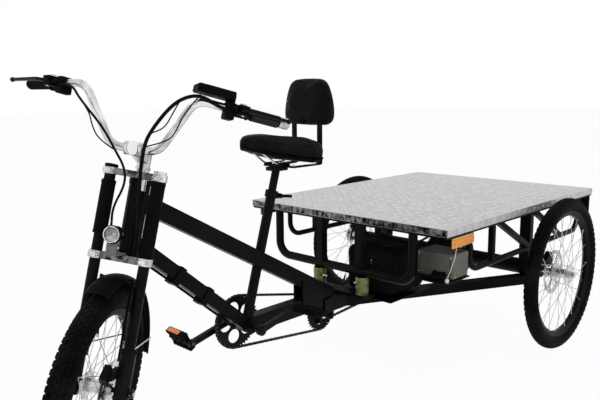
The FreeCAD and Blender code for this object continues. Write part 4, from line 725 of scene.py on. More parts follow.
@dataclass
class Wheel:
    """Tyre with its tread, the spoke nipples and the valve of one wheel.

    The section is the half width of the tyre, the bead its half width on the rim.
    """

    name: str
    body: str
    node: str
    place: Matrix
    radius: float
    section: float
    bead: float
    tread: Tread
    pitches: int

    @property
    def middle(self) -> float:
        """Radius of the section's centre."""
        return self.radius - self.section

    @property
    def seat(self) -> float:
        """Radius of the rim's seat."""
        return self.middle - math.sqrt(self.section ** 2 - self.bead ** 2)

    def build(self) -> None:
        """Make the tyre and the fittings on the rim."""
        self._tyre()
        self._fittings()

    def _tyre(self) -> None:
        """Spin the casing and set the tread blocks round it."""
        work = Work(self.name + "_tread", TYRE_RUBBER)
        reach = math.pi - math.asin(self.bead / self.section)
        depth = max(row[4] for row in self.tread.value) * 0.72
        casing = []
        for step in range(37):
            turn = reach * (step / 18 - 1)
            span = self.section - depth * min(1.0, max(0.12, 2.4 * math.cos(turn) + 0.2))
            span += 0.0007 if step in (6, 30) else 0.0
            casing.append((self.middle + span * math.cos(turn), span * math.sin(turn)))
        work.lathe(casing, self.place, steps=96)
        part = bmesh.new()
        for row in self.tread.value:
            self._block(part, *row)
        work.around(part, self.pitches, self.place)
        work.build(self.body, self.node, crease=30.0)

    def _block(self, part: BMesh, turn: float, phase: float, length: float, width: float, height: float,
               slant: float) -> None:
        """Add one tapered tread block at a turn round the section."""
        angle = math.radians(turn)
        out = ray(angle)
        face = Matrix((Vector((math.sin(angle), 0.0, -math.cos(angle))), Y, out)).transposed().to_4x4()
        spot = moved(Vector((self.middle, 0.0, 0.0)) + out * (self.section - height / 2))
        step = Matrix.Rotation(phase * math.tau / self.pitches, 4, "Z")
        skew = turned(slant, "Z")
        quarter = turned(45.0, "Z")
        bmesh.ops.create_cone(part, cap_ends=True, segments=4, radius1=0.75, radius2=0.58, depth=1.0,
                              matrix=step @ spot @ face @ skew @ scaled(width, length, height) @ quarter)

    def _fittings(self) -> None:
        """Add the spoke nipples and the valve."""
        work = Work(self.name + "_fittings", BRIGHT_STEEL, GRIP_RUBBER)
        rim = self.seat - 0.0203
        for side, shift in ((1, 0.0), (-1, 10.0)):
            for lean, start in ((1, 0.0), (-1, 20.0)):
                turn = turned(shift + start + lean * 60.0, "Z")
                height = side * (0.004 + lean * 0.0017)
                part = bmesh.new()
                bmesh.ops.create_cone(part, cap_ends=True, segments=8, radius1=0.0016, radius2=0.0026, depth=0.010,
                                      matrix=turn @ aim(Vector((rim - 0.004, 0.0, height)), X))
                work.around(part, 9, self.place)
        foot = self.place @ turned(-67.0, "Z") @ aim(Vector((rim + 0.001, 0.0, 0.0)), -X)
        work.lathe([(0.0, 0.0), (0.0055, 0.0), (0.0052, 0.012), (0.0040, 0.016), (0.0040, 0.026), (0.0, 0.026)],
                   foot, 1, 14)
        work.lathe([(0.0, 0.026), (0.0028, 0.026), (0.0028, 0.028), (0.0036, 0.0285), (0.0034, 0.037), (0.0, 0.038)],
                   foot, 0, 14)
        work.build(self.body)


def loft(rings: Sequence[Sequence[Vector]]) -> BMesh:
    """Bridge closed rings of points into a skin with closed ends.

    Args:
        rings: Rings in order, with the same number of points each.

    Returns:
        The skin.
    """
    part = bmesh.new()
    loops = []
    for ring in rings:
        spots = [part.verts.new(point) for point in ring]
        loops.append([part.edges.new(pair) for pair in zip(spots, spots[1:] + spots[:1])])
    for first, second in zip(loops, loops[1:]):
        bmesh.ops.bridge_loops(part, edges=first + second)
    for end in (loops[0], loops[-1]):
        bmesh.ops.contextual_create(part, geom=end)
    bmesh.ops.recalc_face_normals(part, faces=part.faces)
    return part


def hug(mesh: Mesh, points: Sequence[Vector]) -> list[Vector]:
    """Nearest places on a mesh for a row of points."""
    skin = BVHTree.FromPolygons([spot.co for spot in mesh.vertices], [face.vertices[:] for face in mesh.polygons])
    return [skin.find_nearest(point)[0] for point in points]


@dataclass(frozen=True)
class Padding:
    """Stuffing of a soft piece, worked out as a cloth skin under pressure."""

    voxel: float = 0.005
    pressure: float = 4.0
    limit: float = 0.007

    def fill(self, name: str, form: BMesh, held: Callable[[Vector], bool]) -> Mesh:
        """Stuff a closed form.

        Args:
            name: Name of the mesh.
            form: The slack form, which is freed.
            held: Tells which of its places stay where they are.

        Returns:
            The filled skin.
        """
        mesh = bpy.data.meshes.new(name)
        form.to_mesh(mesh)
        form.free()
        piece = bpy.data.objects.new("stuffing", mesh)
        bpy.context.scene.collection.objects.link(piece)
        grid = piece.modifiers.new("grid", "REMESH")
        grid.mode = "VOXEL"
        grid.voxel_size = self.voxel
        self._bake(piece)
        self._press(piece, held)
        rounding = piece.modifiers.new("rounding", "SUBSURF")
        rounding.levels = rounding.render_levels = 1
        self._bake(piece)
        done = piece.data
        done.name = name
        for face in done.polygons:
            face.use_smooth = True
        bpy.data.objects.remove(piece)
        return done

    @staticmethod
    def _bake(piece: Object) -> None:
        """Put a piece's modifiers into its mesh."""
        graph = bpy.context.evaluated_depsgraph_get()
        mesh = bpy.data.meshes.new_from_object(piece.evaluated_get(graph))
        piece.modifiers.clear()
        piece.data = mesh

    def _press(self, piece: Object, held: Callable[[Vector], bool]) -> None:
        """Blow the skin up for a few frames and cap how far it moves."""
        before = [spot.co.copy() for spot in piece.data.vertices]
        pins = piece.vertex_groups.new(name="held")
        pins.add([index for index, spot in enumerate(before) if held(spot)], 1.0, "REPLACE")
        cloth = piece.modifiers.new("cloth", "CLOTH")
        rules = cloth.settings
        rules.use_pressure = True
        rules.uniform_pressure_force = self.pressure
        rules.mass = 0.3
        rules.tension_stiffness = rules.compression_stiffness = 15.0
        rules.bending_stiffness = 0.5
        rules.vertex_group_mass = "held"
        rules.effector_weights.gravity = 0.0
        cloth.point_cache.frame_start, cloth.point_cache.frame_end = 1, 20
        for step in range(1, 21):
            bpy.context.scene.frame_set(step)
        self._bake(piece)
        bpy.context.scene.frame_set(1)
        for spot, start in zip(piece.data.vertices, before):
            move = spot.co - start
            if move.length > self.limit:
                spot.co = start + move * (self.limit / move.length)


@dataclass
class Deck:
    """Raised tread and folded lips of the flat bed."""

    front: float = 0.768
    rear: float = -0.457
    half: float = DECK_HALF
    top: float = 0.597
    pitch: float = 0.040

    def build(self) -> None:
        """Make the tread of the top and of the lips, and the front lip's plate of painted shade."""
        p, low = self.pitch, self.top - 0.0125
        square = [(0.0, 0.0, 1), (p, 0.0, -1), (0.0, p, -1), (p, p, 1)]
        start = from_axle(self.rear + 0.0325, 0.050 - self.half, self.top)
        # Lozenges on top in the lighter copy of the tread alloy, whose lightness is a painted highlight.
        self._rows("deck_tread", moved(start), square, [(X * 2 * p, 15), (Y * 2 * p, 11)], TREAD_CREST_PAINTED_HIGHLIGHT)
        # A thin dark plate over the front lip, and the lip's lozenges, carry that painted shade and painted
        # reflection.
        work = Work("deck_front_lip_painted_shade", TREAD_PAINTED_SHADE)
        work.block((0.0016, 2 * self.half - 0.002, 0.0235),
                   moved(from_axle(self.front, 0.0, low)), 0.0007)
        work.build("frame")
        nose = moved(from_axle(self.front + 0.0008, start.y, low)) @ turned(90.0, "Y")
        self._rows("deck_lip_front_tread", nose, [(0.0, 0.0, 1), (0.0, p, -1)], [(Y * 2 * p, 11)], TREAD_PAINTED_SHADE)
        for side, sign in SIDES.items():
            face = moved(from_axle(self.rear + 0.0325, sign * self.half, low))
            self._rows("deck_lip_tread_" + side, face @ turned(-90.0 * sign, "X"),
                       [(0.0, 0.0, 1), (p, 0.0, -1)], [(X * 2 * p, 15)], TREAD_ALLOY)

    @staticmethod
    def _rows(name: str, place: Matrix, cells: Sequence[tuple[float, float, int]],
              repeats: Sequence[tuple[Vector, int]], finish: Finish) -> None:
        """Raise a cell of lozenges and repeat it in rows.

        Args:
            name: Name of the piece.
            place: Where the first lozenge lies, with local Z out of the sheet.
            cells: Place and lean of each lozenge.
            repeats: Step and count of each row.
            finish: Finish of the tread.
        """
        work = Work(name, finish)
        for x, y, lean in cells:
            part = bmesh.new()
            turn = moved((x, y, 0.0005)) @ turned(45.0 * lean, "Z")
            bmesh.ops.create_cone(part, cap_ends=True, segments=6, radius1=1.0, radius2=0.5, depth=1.0,
                                  matrix=turn @ scaled(0.0135, 0.0042, 0.0018))
            work.take(part, place)
        piece = work.build("frame", crease=20.0)
        for step, count in repeats:
            row = piece.modifiers.new("row", "ARRAY")
            row.use_relative_offset = False
            row.use_constant_offset = True
            row.constant_offset_displace = step
            row.count = count


SEAT = moved(from_axle(1.07801, 0.0, 0.79783))


@dataclass
class Seat:
    """Stuffed saddle and backrest on their black bars and bright rails.

    Saddle stations are (forward, half width, underside, shoulder, top) from the clamp's middle.
    """

    stations: Sequence[tuple[float, float, float, float, float]] = (
        (0.151, 0.009, 0.082, 0.089, 0.096), (0.145, 0.018, 0.072, 0.094, 0.106), (0.133, 0.026, 0.066, 0.096, 0.112),
        (0.112, 0.035, 0.062, 0.097, 0.114), (0.072, 0.053, 0.050, 0.093, 0.110), (0.035, 0.071, 0.041, 0.088, 0.104),
        (-0.003, 0.091, 0.033, 0.083, 0.099), (-0.068, 0.118, 0.019, 0.077, 0.093),
        (-0.101, 0.116, 0.018, 0.075, 0.091), (-0.116, 0.107, 0.020, 0.070, 0.085),
        (-0.122, 0.095, 0.026, 0.062, 0.075))
    back: Sequence[tuple[float, float]] = (
        (0.084, 0.133), (0.104, 0.147), (0.109, 0.168), (0.107, 0.200), (0.097, 0.240), (0.083, 0.270),
        (0.072, 0.282), (0.058, 0.290))

    def build(self) -> None:
        """Make the saddle, the backrest and the bars."""
        self._saddle()
        self._backrest()
        self._bars()

    @staticmethod
    def _ring(x: float, half: float, low: float, shoulder: float, top: float) -> list[Vector]:
        """Ring of points round the saddle at one station."""
        wall, rise = shoulder - low, top - shoulder
        side = [(0.50, low), (0.86, low), (0.97, low + 0.3 * wall), (1.0, low + 0.62 * wall), (0.95, shoulder),
                (0.80, shoulder + 0.5 * rise), (0.52, shoulder + 0.9 * rise), (0.20, top - 0.0015)]
        return ([SEAT @ Vector((x, half * y, z)) for y, z in side]
                + [SEAT @ Vector((x, -half * y, z)) for y, z in reversed(side)])

    def _saddle(self) -> None:
        """Stuff the saddle and sew its seams."""
        base = SEAT.translation.z
        mesh = Padding(0.005, 4.0, 0.006).fill("saddle_cover", loft([self._ring(*row) for row in self.stations]),
                                               lambda spot: self._under(spot, base))
        pad = place_mesh(mesh, "seat", ["saddle"], [SEAT_VINYL])
        work = Work("saddle_seams", SEAT_VINYL, BLACK_PLASTIC)
        for share, height in ((0.93, 0.9), (1.0, 0.16)):
            left = [SEAT @ Vector((x, half * share, low + (shoulder - low) * height))
                    for x, half, low, shoulder, top in self.stations]
            right = [Vector((spot.x, -spot.y, spot.z)) for spot in reversed(left)]
            work.wire(hug(mesh, left + right), 0.0017, cyclic=True)
        shell = []
        for row in self.stations:
            low, high = base + row[2] + 0.002, base + row[2] + 0.006
            shell.append([spot + Z * (-0.004 if spot.z < low else high - spot.z) for spot in self._ring(*row)])
        work.take(loft(shell), paint=1)
        work.build("seat")

    def _under(self, spot: Vector, base: float) -> bool:
        """Whether a place is on the saddle's underside."""
        x = spot.x - SEAT.translation.x
        row = min(self.stations, key=lambda station: abs(station[0] - x))
        return spot.z - base < row[2] + 0.006

    def _outline(self, x: float, share: float) -> list[Vector]:
        """Ring of points round the backrest at one depth."""
        middle = 0.212
        half = [(y * share, middle + (z - middle) * share) for y, z in self.back]
        whole = half + [(-y, z) for y, z in reversed(half)]
        return [SEAT @ Vector((x, y, z)) for y, z in whole]

    def _backrest(self) -> None:
        """Stuff the backrest, sew its piping and bolt its board on."""
        layers = ((-0.1765, 0.93), (-0.1720, 0.975), (-0.1640, 0.985), (-0.1520, 0.985), (-0.1450, 0.95),
                  (-0.1410, 0.86), (-0.1395, 0.60))
        board = SEAT.translation.x - 0.173
        mesh = Padding(0.005, 4.0, 0.006).fill("backrest_cover", loft([self._outline(*layer) for layer in layers]),
                                               lambda spot: spot.x < board)
        pad = place_mesh(mesh, "seat", ["backrest_pad"], [SEAT_VINYL])
        work = Work("backrest_trim", SEAT_VINYL, BLACK_PLASTIC, BRIGHT_STEEL)
        for x, share in ((-0.144, 0.97), (-0.172, 0.99)):
            work.wire(hug(mesh, self._outline(x, share)), 0.0016, cyclic=True)
        work.take(loft([self._outline(-0.1800, 0.89), self._outline(-0.1750, 0.93)]), paint=1)
        for sign in SIDES.values():
            for height in (0.165, 0.205):
                work.bolt(SEAT @ aim(Vector((-0.1798, 0.060 * sign, height)), -X), 0.0050, 0.003, 2)
        work.build("seat")

    def _bars(self) -> None:
        """Forge the clamp, the cross bar, the uprights and the wire rails."""
        work = Work("seat_rig", FRAME_PAINT, BRIGHT_STEEL)
        work.block((0.058, 0.050, 0.013), SEAT @ moved((-0.001, 0.0, -0.0055)), 0.003)
        work.block((0.058, 0.070, 0.009), SEAT @ moved((-0.001, 0.0, 0.0075)), 0.003)
        for x in (-0.016, 0.014):
            work.bolt(SEAT @ aim(Vector((x, 0.0, 0.012)), Z), 0.005, 0.005, 1)
        work.block((0.020, 0.142, 0.005), SEAT @ moved((-0.020, 0.0, 0.0015)), 0.0012)
        for sign in SIDES.values():
            y = 0.060 * sign
            work.block((0.122, 0.022, 0.005), SEAT @ moved((-0.080, y, 0.0015)), 0.0012)
            work.block((0.005, 0.022, 0.162), SEAT @ moved((-0.1480, y, 0.084)), 0.0012)
            bend = [(-0.139, -0.001), (-0.147, 0.001), (-0.1505, 0.012), (-0.1455, 0.012), (-0.143, 0.006),
                    (-0.139, 0.004)]
            work.prism(bend, 0.022, SEAT @ moved((0.0, y + 0.011, 0.0))
                       @ turned(90.0, "X"))
            work.bolt(SEAT @ aim(Vector((-0.020, y, 0.004)), Z), 0.0045, 0.004, 1)
            rail = [(0.109, 0.019, 0.073), (0.100, 0.021, 0.064), (0.040, 0.028, 0.022), (0.022, 0.029, 0.012),
                    (-0.010, 0.029, 0.012), (-0.045, 0.029, 0.012), (-0.066, 0.030, 0.013), (-0.088, 0.037, 0.027),
                    (-0.106, 0.044, 0.040)]
            work.wire([SEAT @ Vector((x, sign * spread, z)) for x, spread, z in rail], 0.0036, paint=1)
        work.build("seat", "seat_frame")


@dataclass
class Bag:
    """Soft black battery bag, held down by two straps."""

    low: Point = (0.455, -0.030, 0.282)
    high: Point = (0.703, 0.200, 0.472)
    straps: Sequence[float] = (0.515, 0.640)

    def build(self) -> None:
        """Stuff the bag and add its straps, zip and handle."""
        low, high = from_axle(*self.low), from_axle(*self.high)
        inset = Vector((0.008, 0.008, 0.008))
        size = high - low - inset * 2
        form = bmesh.new()
        bmesh.ops.create_cube(form, size=1.0, matrix=moved((low + high) / 2) @ scaled(*size))
        bmesh.ops.bevel(form, geom=form.edges[:], offset=0.026, segments=4, profile=0.5, affect="EDGES", material=-1)
        bands = [from_axle(x, 0.0, 0.0).x for x in self.straps]
        mesh = Padding(0.006, 4.0, 0.010).fill(
            "battery_bag_skin", form,
            lambda spot: spot.z < low.z + 0.016 or min(abs(spot.x - band) for band in bands) < 0.012)
        bag = place_mesh(mesh, "frame", ["battery_bag"], [BAG_CLOTH])
        self._trim(mesh, low, high)

    def _trim(self, mesh: Mesh, low: Vector, high: Vector) -> None:
        """Add the straps with buckles, the zip and a carrying handle."""
        work = Work("battery_bag_trim", BAG_CLOTH, BLACK_PLASTIC, BRIGHT_STEEL)
        middle = (low.y + high.y) / 2
        for x in self.straps:
            spot = from_axle(x, 0.0, 0.0).x
            loop = [(low.y + 0.010, low.z + 0.03), (low.y + 0.008, 0.36), (low.y + 0.012, high.z - 0.030),
                    (low.y + 0.034, high.z - 0.009), (middle, high.z - 0.0075), (high.y - 0.034, high.z - 0.009),
                    (high.y - 0.012, high.z - 0.030), (high.y - 0.008, 0.36), (high.y - 0.010, low.z + 0.03)]
            for shift in (-0.009, -0.0045, 0.0, 0.0045, 0.009):
                work.wire([Vector((spot + shift, y, z)) for y, z in loop], 0.0027)
            work.block((0.030, 0.040, 0.009), moved((spot, middle + 0.05, high.z - 0.006)), 0.003, 1)
        front = high.x - 0.004
        zip_line = hug(mesh, [Vector((front, y, high.z - 0.045))
                              for y in (low.y + 0.03, low.y + 0.09, middle, high.y - 0.09, high.y - 0.03)])
        work.wire(zip_line, 0.0026, paint=1)
        work.block((0.003, 0.005, 0.018), moved(zip_line[-2] + Vector((0.002, 0.0, -0.010))), 0.001, 2)
        handle = [Vector((front - 0.004, middle - 0.06, 0.40)), Vector((front + 0.006, middle - 0.055, 0.385)),
                  Vector((front + 0.007, middle, 0.365)), Vector((front + 0.006, middle + 0.055, 0.385)),
                  Vector((front - 0.004, middle + 0.06, 0.40))]
        work.wire(handle, 0.005)
        work.build("frame")


@dataclass
class Gear:
    """Fittings below the deck: buffers, reflectors, the controller's lid and the drive unit's ribs."""

    def build(self) -> None:
        """Make the fittings."""
        self._buffers()
        self._reflectors()
        self._controller()
        self._drive_unit()

    @staticmethod
    def _buffers() -> None:
        """Turn the two yellow spring buffers with their washers and bolts."""
        work = Work("buffer_blocks", BUFFER_RUBBER, BRIGHT_STEEL)
        outline = [(0.0, 0.0), (0.0225, 0.0), (0.0240, 0.002), (0.0246, 0.016), (0.0238, 0.029), (0.0225, 0.0315),
                   (0.0238, 0.034), (0.0246, 0.047), (0.0240, 0.061), (0.0225, 0.063), (0.0, 0.063)]
        for sign in SIDES.values():
            foot = from_axle(0.750, 0.106 * sign, 0.305)
            work.lathe(outline, moved(foot))
            work.lathe(disc(0.0225, 0.0, 0.003),
                       moved(foot + Z * 0.0605), 1)
            work.lathe(disc(0.0260, 0.0, 0.002), moved(foot), 1)
            side = aim(foot + Vector((0.0, -0.0245 * sign, 0.034)), Y * -sign)
            work.lathe(disc(0.0100, 0.0, 0.002), side, 1, 20)
            work.lathe(disc(0.0065, 0.001, 0.008), side, 1, 6)
            work.lathe([(0.0, 0.007), (0.0038, 0.007), (0.0034, 0.016), (0.0, 0.016)], side, 1, 12)
        work.build("frame", "buffers")

    @staticmethod
    def _reflectors() -> None:
        """Make the amber side reflectors, the lamp lead and its plug."""
        work = Work("side_reflector_lenses", AMBER_LENS, AMBER_RIM, BRIGHT_STEEL)
        for sign in SIDES.values():
            middle = from_axle(0.659, 0.4645 * sign, 0.5445)
            work.block((0.136, 0.007, 0.035), moved(middle), 0.002, 1)
            work.block((0.122, 0.005, 0.024), moved(middle + Y * 0.0050 * sign), 0.0015)
            for end in (-1, 1):
                work.bolt(aim(middle + Vector((0.0645 * end, 0.0036 * sign, 0.0)), Y * sign), 0.0022, 0.0012, 2)
        work.build("frame", "side_reflectors")
        half = DECK_HALF
        points = [from_axle(0.702, half - 0.004, 0.527), from_axle(0.706, half - 0.006, 0.495),
                  from_axle(0.724, half - 0.012, 0.450), from_axle(0.735, half - 0.017, 0.424)]
        lay_cord("lamp_lead", points, 0.0015, LEAD_SKIN, "frame")
        plug = Work("lamp_lead_plug", WHITE_PLASTIC)
        middle = from_axle(0.735, half - 0.017, 0.417)
        plug.block((0.0095, 0.0095, 0.0138), moved(middle), 0.0014)
        plug.block((0.0108, 0.0108, 0.0025), moved(middle + Z * 0.003), 0.0006)
        plug.block((0.0030, 0.0030, 0.0100), moved(middle + X * 0.0058), 0.0008)
        plug.build("frame")

    @staticmethod
    def _controller() -> None:
        """Add the controller's lid seam, screws, glands and leads."""
        work = Work("controller_trim", BLACK_PLASTIC, BRIGHT_STEEL, CABLE_SKIN)
        low, high = from_axle(0.600, 0.311, 0.410), from_axle(0.702, 0.455, 0.500)
        for y in (low.y + 0.012, high.y - 0.012):
            ring = [Vector((low.x + 0.0085, y, low.z)), Vector((high.x - 0.0085, y, low.z)),
                    Vector((high.x, y, low.z + 0.0085)), Vector((high.x, y, high.z - 0.0085)),
                    Vector((high.x - 0.0085, y, high.z)), Vector((low.x + 0.0085, y, high.z)),
                    Vector((low.x, y, high.z - 0.0085)), Vector((low.x, y, low.z + 0.0085))]
            for a, b in zip(ring, ring[1:] + ring[:1]):
                work.rod(a, b, 0.0011, sides=8)
        for y in (low.y + 0.010, high.y - 0.010):
            for z in (low.z + 0.012, high.z - 0.012):
                work.bolt(aim(Vector((high.x, y, z)), X), 0.0032, 0.0016, 1)
        for z in (low.z + 0.012, high.z - 0.012):
            for x in (low.x + 0.012, high.x - 0.012):
                work.bolt(aim(Vector((x, high.y, z)), Y), 0.0030, 0.0014, 1)
        for shift, radius in ((0.030, 0.006), (0.048, 0.0045), (0.064, 0.006)):
            spot = Vector((high.x, low.y + shift + 0.045, low.z + 0.018))
            work.lathe([(0.0, 0.0), (radius + 0.003, 0.0), (radius + 0.003, 0.005), (radius + 0.001, 0.007),
                        (radius + 0.001, 0.012), (0.0, 0.012)], aim(spot, X), 0, 18)
            run = [spot + X * 0.010, spot + Vector((0.022, 0.002, 0.0)), spot + Vector((0.030, -0.006, -0.010)),
                   spot + Vector((0.026, -0.030, -0.016)), spot + Vector((0.006, -0.070, -0.018))]
            work.wire(run, radius * 0.62, paint=2)
        work.build("frame")

    @staticmethod
    def _drive_unit() -> None:
        """Rib the rear drive unit and bolt its cover."""
        work = Work("drive_unit_ribs", BLACK_ALLOY, BRIGHT_STEEL)
        axle = moved(from_axle(0.0, 0.0, REAR_RADIUS)) @ turned(-90.0, "X")
        for height in (0.0, 0.012, 0.024, 0.036, 0.048):
            rib = [(0.0855, 0.0), (0.0895, 0.001), (0.0895, 0.004), (0.0855, 0.005)]
            work.lathe(rib, axle @ moved(Z * height), steps=56)
        part = bmesh.new()
        bmesh.ops.create_cone(part, cap_ends=True, segments=6, radius1=0.006, radius2=0.006, depth=0.005,
                              matrix=moved((0.066, 0.0, 0.098)))
        work.around(part, 8, axle, 1)
        work.build("frame")


@dataclass
class Chain:
    """Roller chain round two sprockets, link by link."""

    name: str
    node: str
    first: Vector
    second: Vector
    radii: tuple[float, float]
    pitch: float = CHAIN_PITCH

    def build(self) -> None:
        """Lay the links along the loop."""
        work = Work(self.name, CHAIN_STEEL)
        for index, (spot, along) in enumerate(self._stations()):
            gap = 0.0030 if index % 2 else 0.0041
            place = aim(spot, along, Y)
            for sign in SIDES.values():
                self._plate(work, place @ moved((0.0, gap * sign, 0.0)))
            work.rod(spot - Y * 0.0046, spot + Y * 0.0046, 0.0037, sides=8)
        work.build("frame", self.node, crease=30.0)

    def _plate(self, work: Work, place: Matrix) -> None:
        """Add one side plate from a pin to the next."""
        half, thin = 0.0042, 0.0005
        outline = [(-half, 0.0), (-half * 0.7, -half * 0.7), (0.0, -half), (half * 0.7, -half * 0.7), (half, 0.0),
                   (half * 0.72, self.pitch / 2), (half, self.pitch), (half * 0.7, self.pitch + half * 0.7),
                   (0.0, self.pitch + half), (-half * 0.7, self.pitch + half * 0.7), (-half, self.pitch),
                   (-half * 0.72, self.pitch / 2)]
        lay = turned(90.0, "X") @ moved((0.0, 0.0, -thin))
        work.prism(outline, 2 * thin, place @ lay)

    def _stations(self) -> list[tuple[Vector, Vector]]:
        """Pins of the chain in order, each with the way to the next one.

        Returns:
            Pairs of place and direction.
        """
        base = self.second - self.first
        span, one, two = base.length, *self.radii
        ahead = math.atan2(base.z, base.x)
        lean = math.asin((one - two) / span)
        run = span * math.cos(lean)
        arcs = (one * (math.pi + 2 * lean), two * (math.pi - 2 * lean))
        total = 2 * run + sum(arcs)
        count = 2 * round(total / self.pitch / 2)
        pins = []
        for index in range(count):
            way = total * index / count
            if way < arcs[0]:
                pins.append(self.first + ray(ahead + math.pi / 2 - lean + way / one) * one)
                continue
            way -= arcs[0]
            low = ahead - math.pi / 2 + lean
            down = ray(low)
            if way < run:
                start = self.first + down * one
                pins.append(start.lerp(self.second + down * two, way / run))
                continue
            way -= run
            if way < arcs[1]:
                pins.append(self.second + ray(low + way / two) * two)
                continue
            way -= arcs[1]
            up = ray(ahead + math.pi / 2 - lean)
            start = self.second + up * two
            pins.append(start.lerp(self.first + up * one, way / run))
        return [(spot, (after - spot).normalized()) for spot, after in zip(pins, pins[1:] + pins[:1])]


@dataclass
class Drive:
    """Chains, pedals and crank caps."""

    crank: Vector
    jack: Vector
    axle: Vector
    angle: float = -12.5
    length: float = 0.170

    def build(self) -> None:
        """Make the chains, the pedals and the trim of the cranks."""
        ring, small, drive, large = (CHAIN_PITCH / 2 / math.sin(math.pi / teeth) for teeth in (44, 34, 24, 40))
        for name, start, end, side, radii in (("pedal_chain", self.crank, self.jack, 0.045, (ring, small)),
                                              ("drive_chain", self.jack, self.axle, 0.060, (drive, large))):
            Chain(name + "_links", name, start - Y * side, end - Y * side, radii).build()
        reach = ray(math.radians(self.angle)) * self.length
        for side, sign in SIDES.items():
            tip = self.crank - reach * sign
            self._pedal(side, sign, tip)
        self._caps(reach)

    @staticmethod
    def _pedal(side: str, sign: int, tip: Vector) -> None:
        """Make a platform pedal with a toothed cage and amber reflectors, turned on its pin."""
        work = Work("pedal_body_" + side, BLACK_PLASTIC, AMBER_LENS)
        turn = turned(-14.0 if sign > 0 else -60.0, "Y")
        place = moved(tip + Y * (0.136 * sign)) @ turn
        for x in (-0.0275, 0.0275):
            work.block((0.011, 0.097, 0.022), place @ moved(X * x), 0.0025)
            for step in range(6):
                for z in (-0.011, 0.011):
                    spot = Vector((x, -0.040 + 0.016 * step, z))
                    work.block((0.008, 0.005, 0.003), place @ moved(spot), 0.0008)
            if sign < 0 or x < 0:
                face = Vector((x * 1.18, 0.012 * sign, 0.0))
                work.block((0.0030, 0.060, 0.016), place @ moved(face), 0.001, 1)
        for y in (-0.0445, -0.015, 0.015, 0.0445):
            work.block((0.050, 0.008, 0.017), place @ moved(Y * y), 0.002)
        work.rod(place @ (Y * -0.049), place @ (Y * 0.049), 0.0105)
        work.lathe([(0.0, 0.0), (0.0085, 0.0), (0.0085, 0.002), (0.0, 0.003)],
                   place @ aim(Y * 0.049 * sign, Y * sign), 0, 20)
        work.build("pedal_l" if sign > 0 else "pedal_r", "pedal_" + side)

    def _caps(self, reach: Vector) -> None:
        """Cap the spindle's ends and the pedal pins, and bolt the chainring."""
        work = Work("crank_caps", BLACK_ALLOY, CHAIN_STEEL)
        for sign in SIDES.values():
            spot = self.crank + Y * 0.082 * sign
            work.lathe([(0.0, 0.004), (0.010, 0.004), (0.0135, 0.0025), (0.0145, -0.001), (0.0, -0.001)],
                       aim(spot, Y * sign))
            pin = self.crank - reach * sign + Y * 0.0675 * sign
            work.lathe(disc(0.0075, 0.0, 0.0015), aim(pin, Y * -sign), 1, 6)
        part = bmesh.new()
        bmesh.ops.create_cone(part, cap_ends=True, segments=14, radius1=0.0058, radius2=0.0050, depth=0.004,
                              matrix=moved((0.050, 0.0, 0.0)))
        work.around(part, 5, aim(self.crank - Y * 0.0475, -Y) @ turned(36.0, "Z"))
        work.build("crankset")


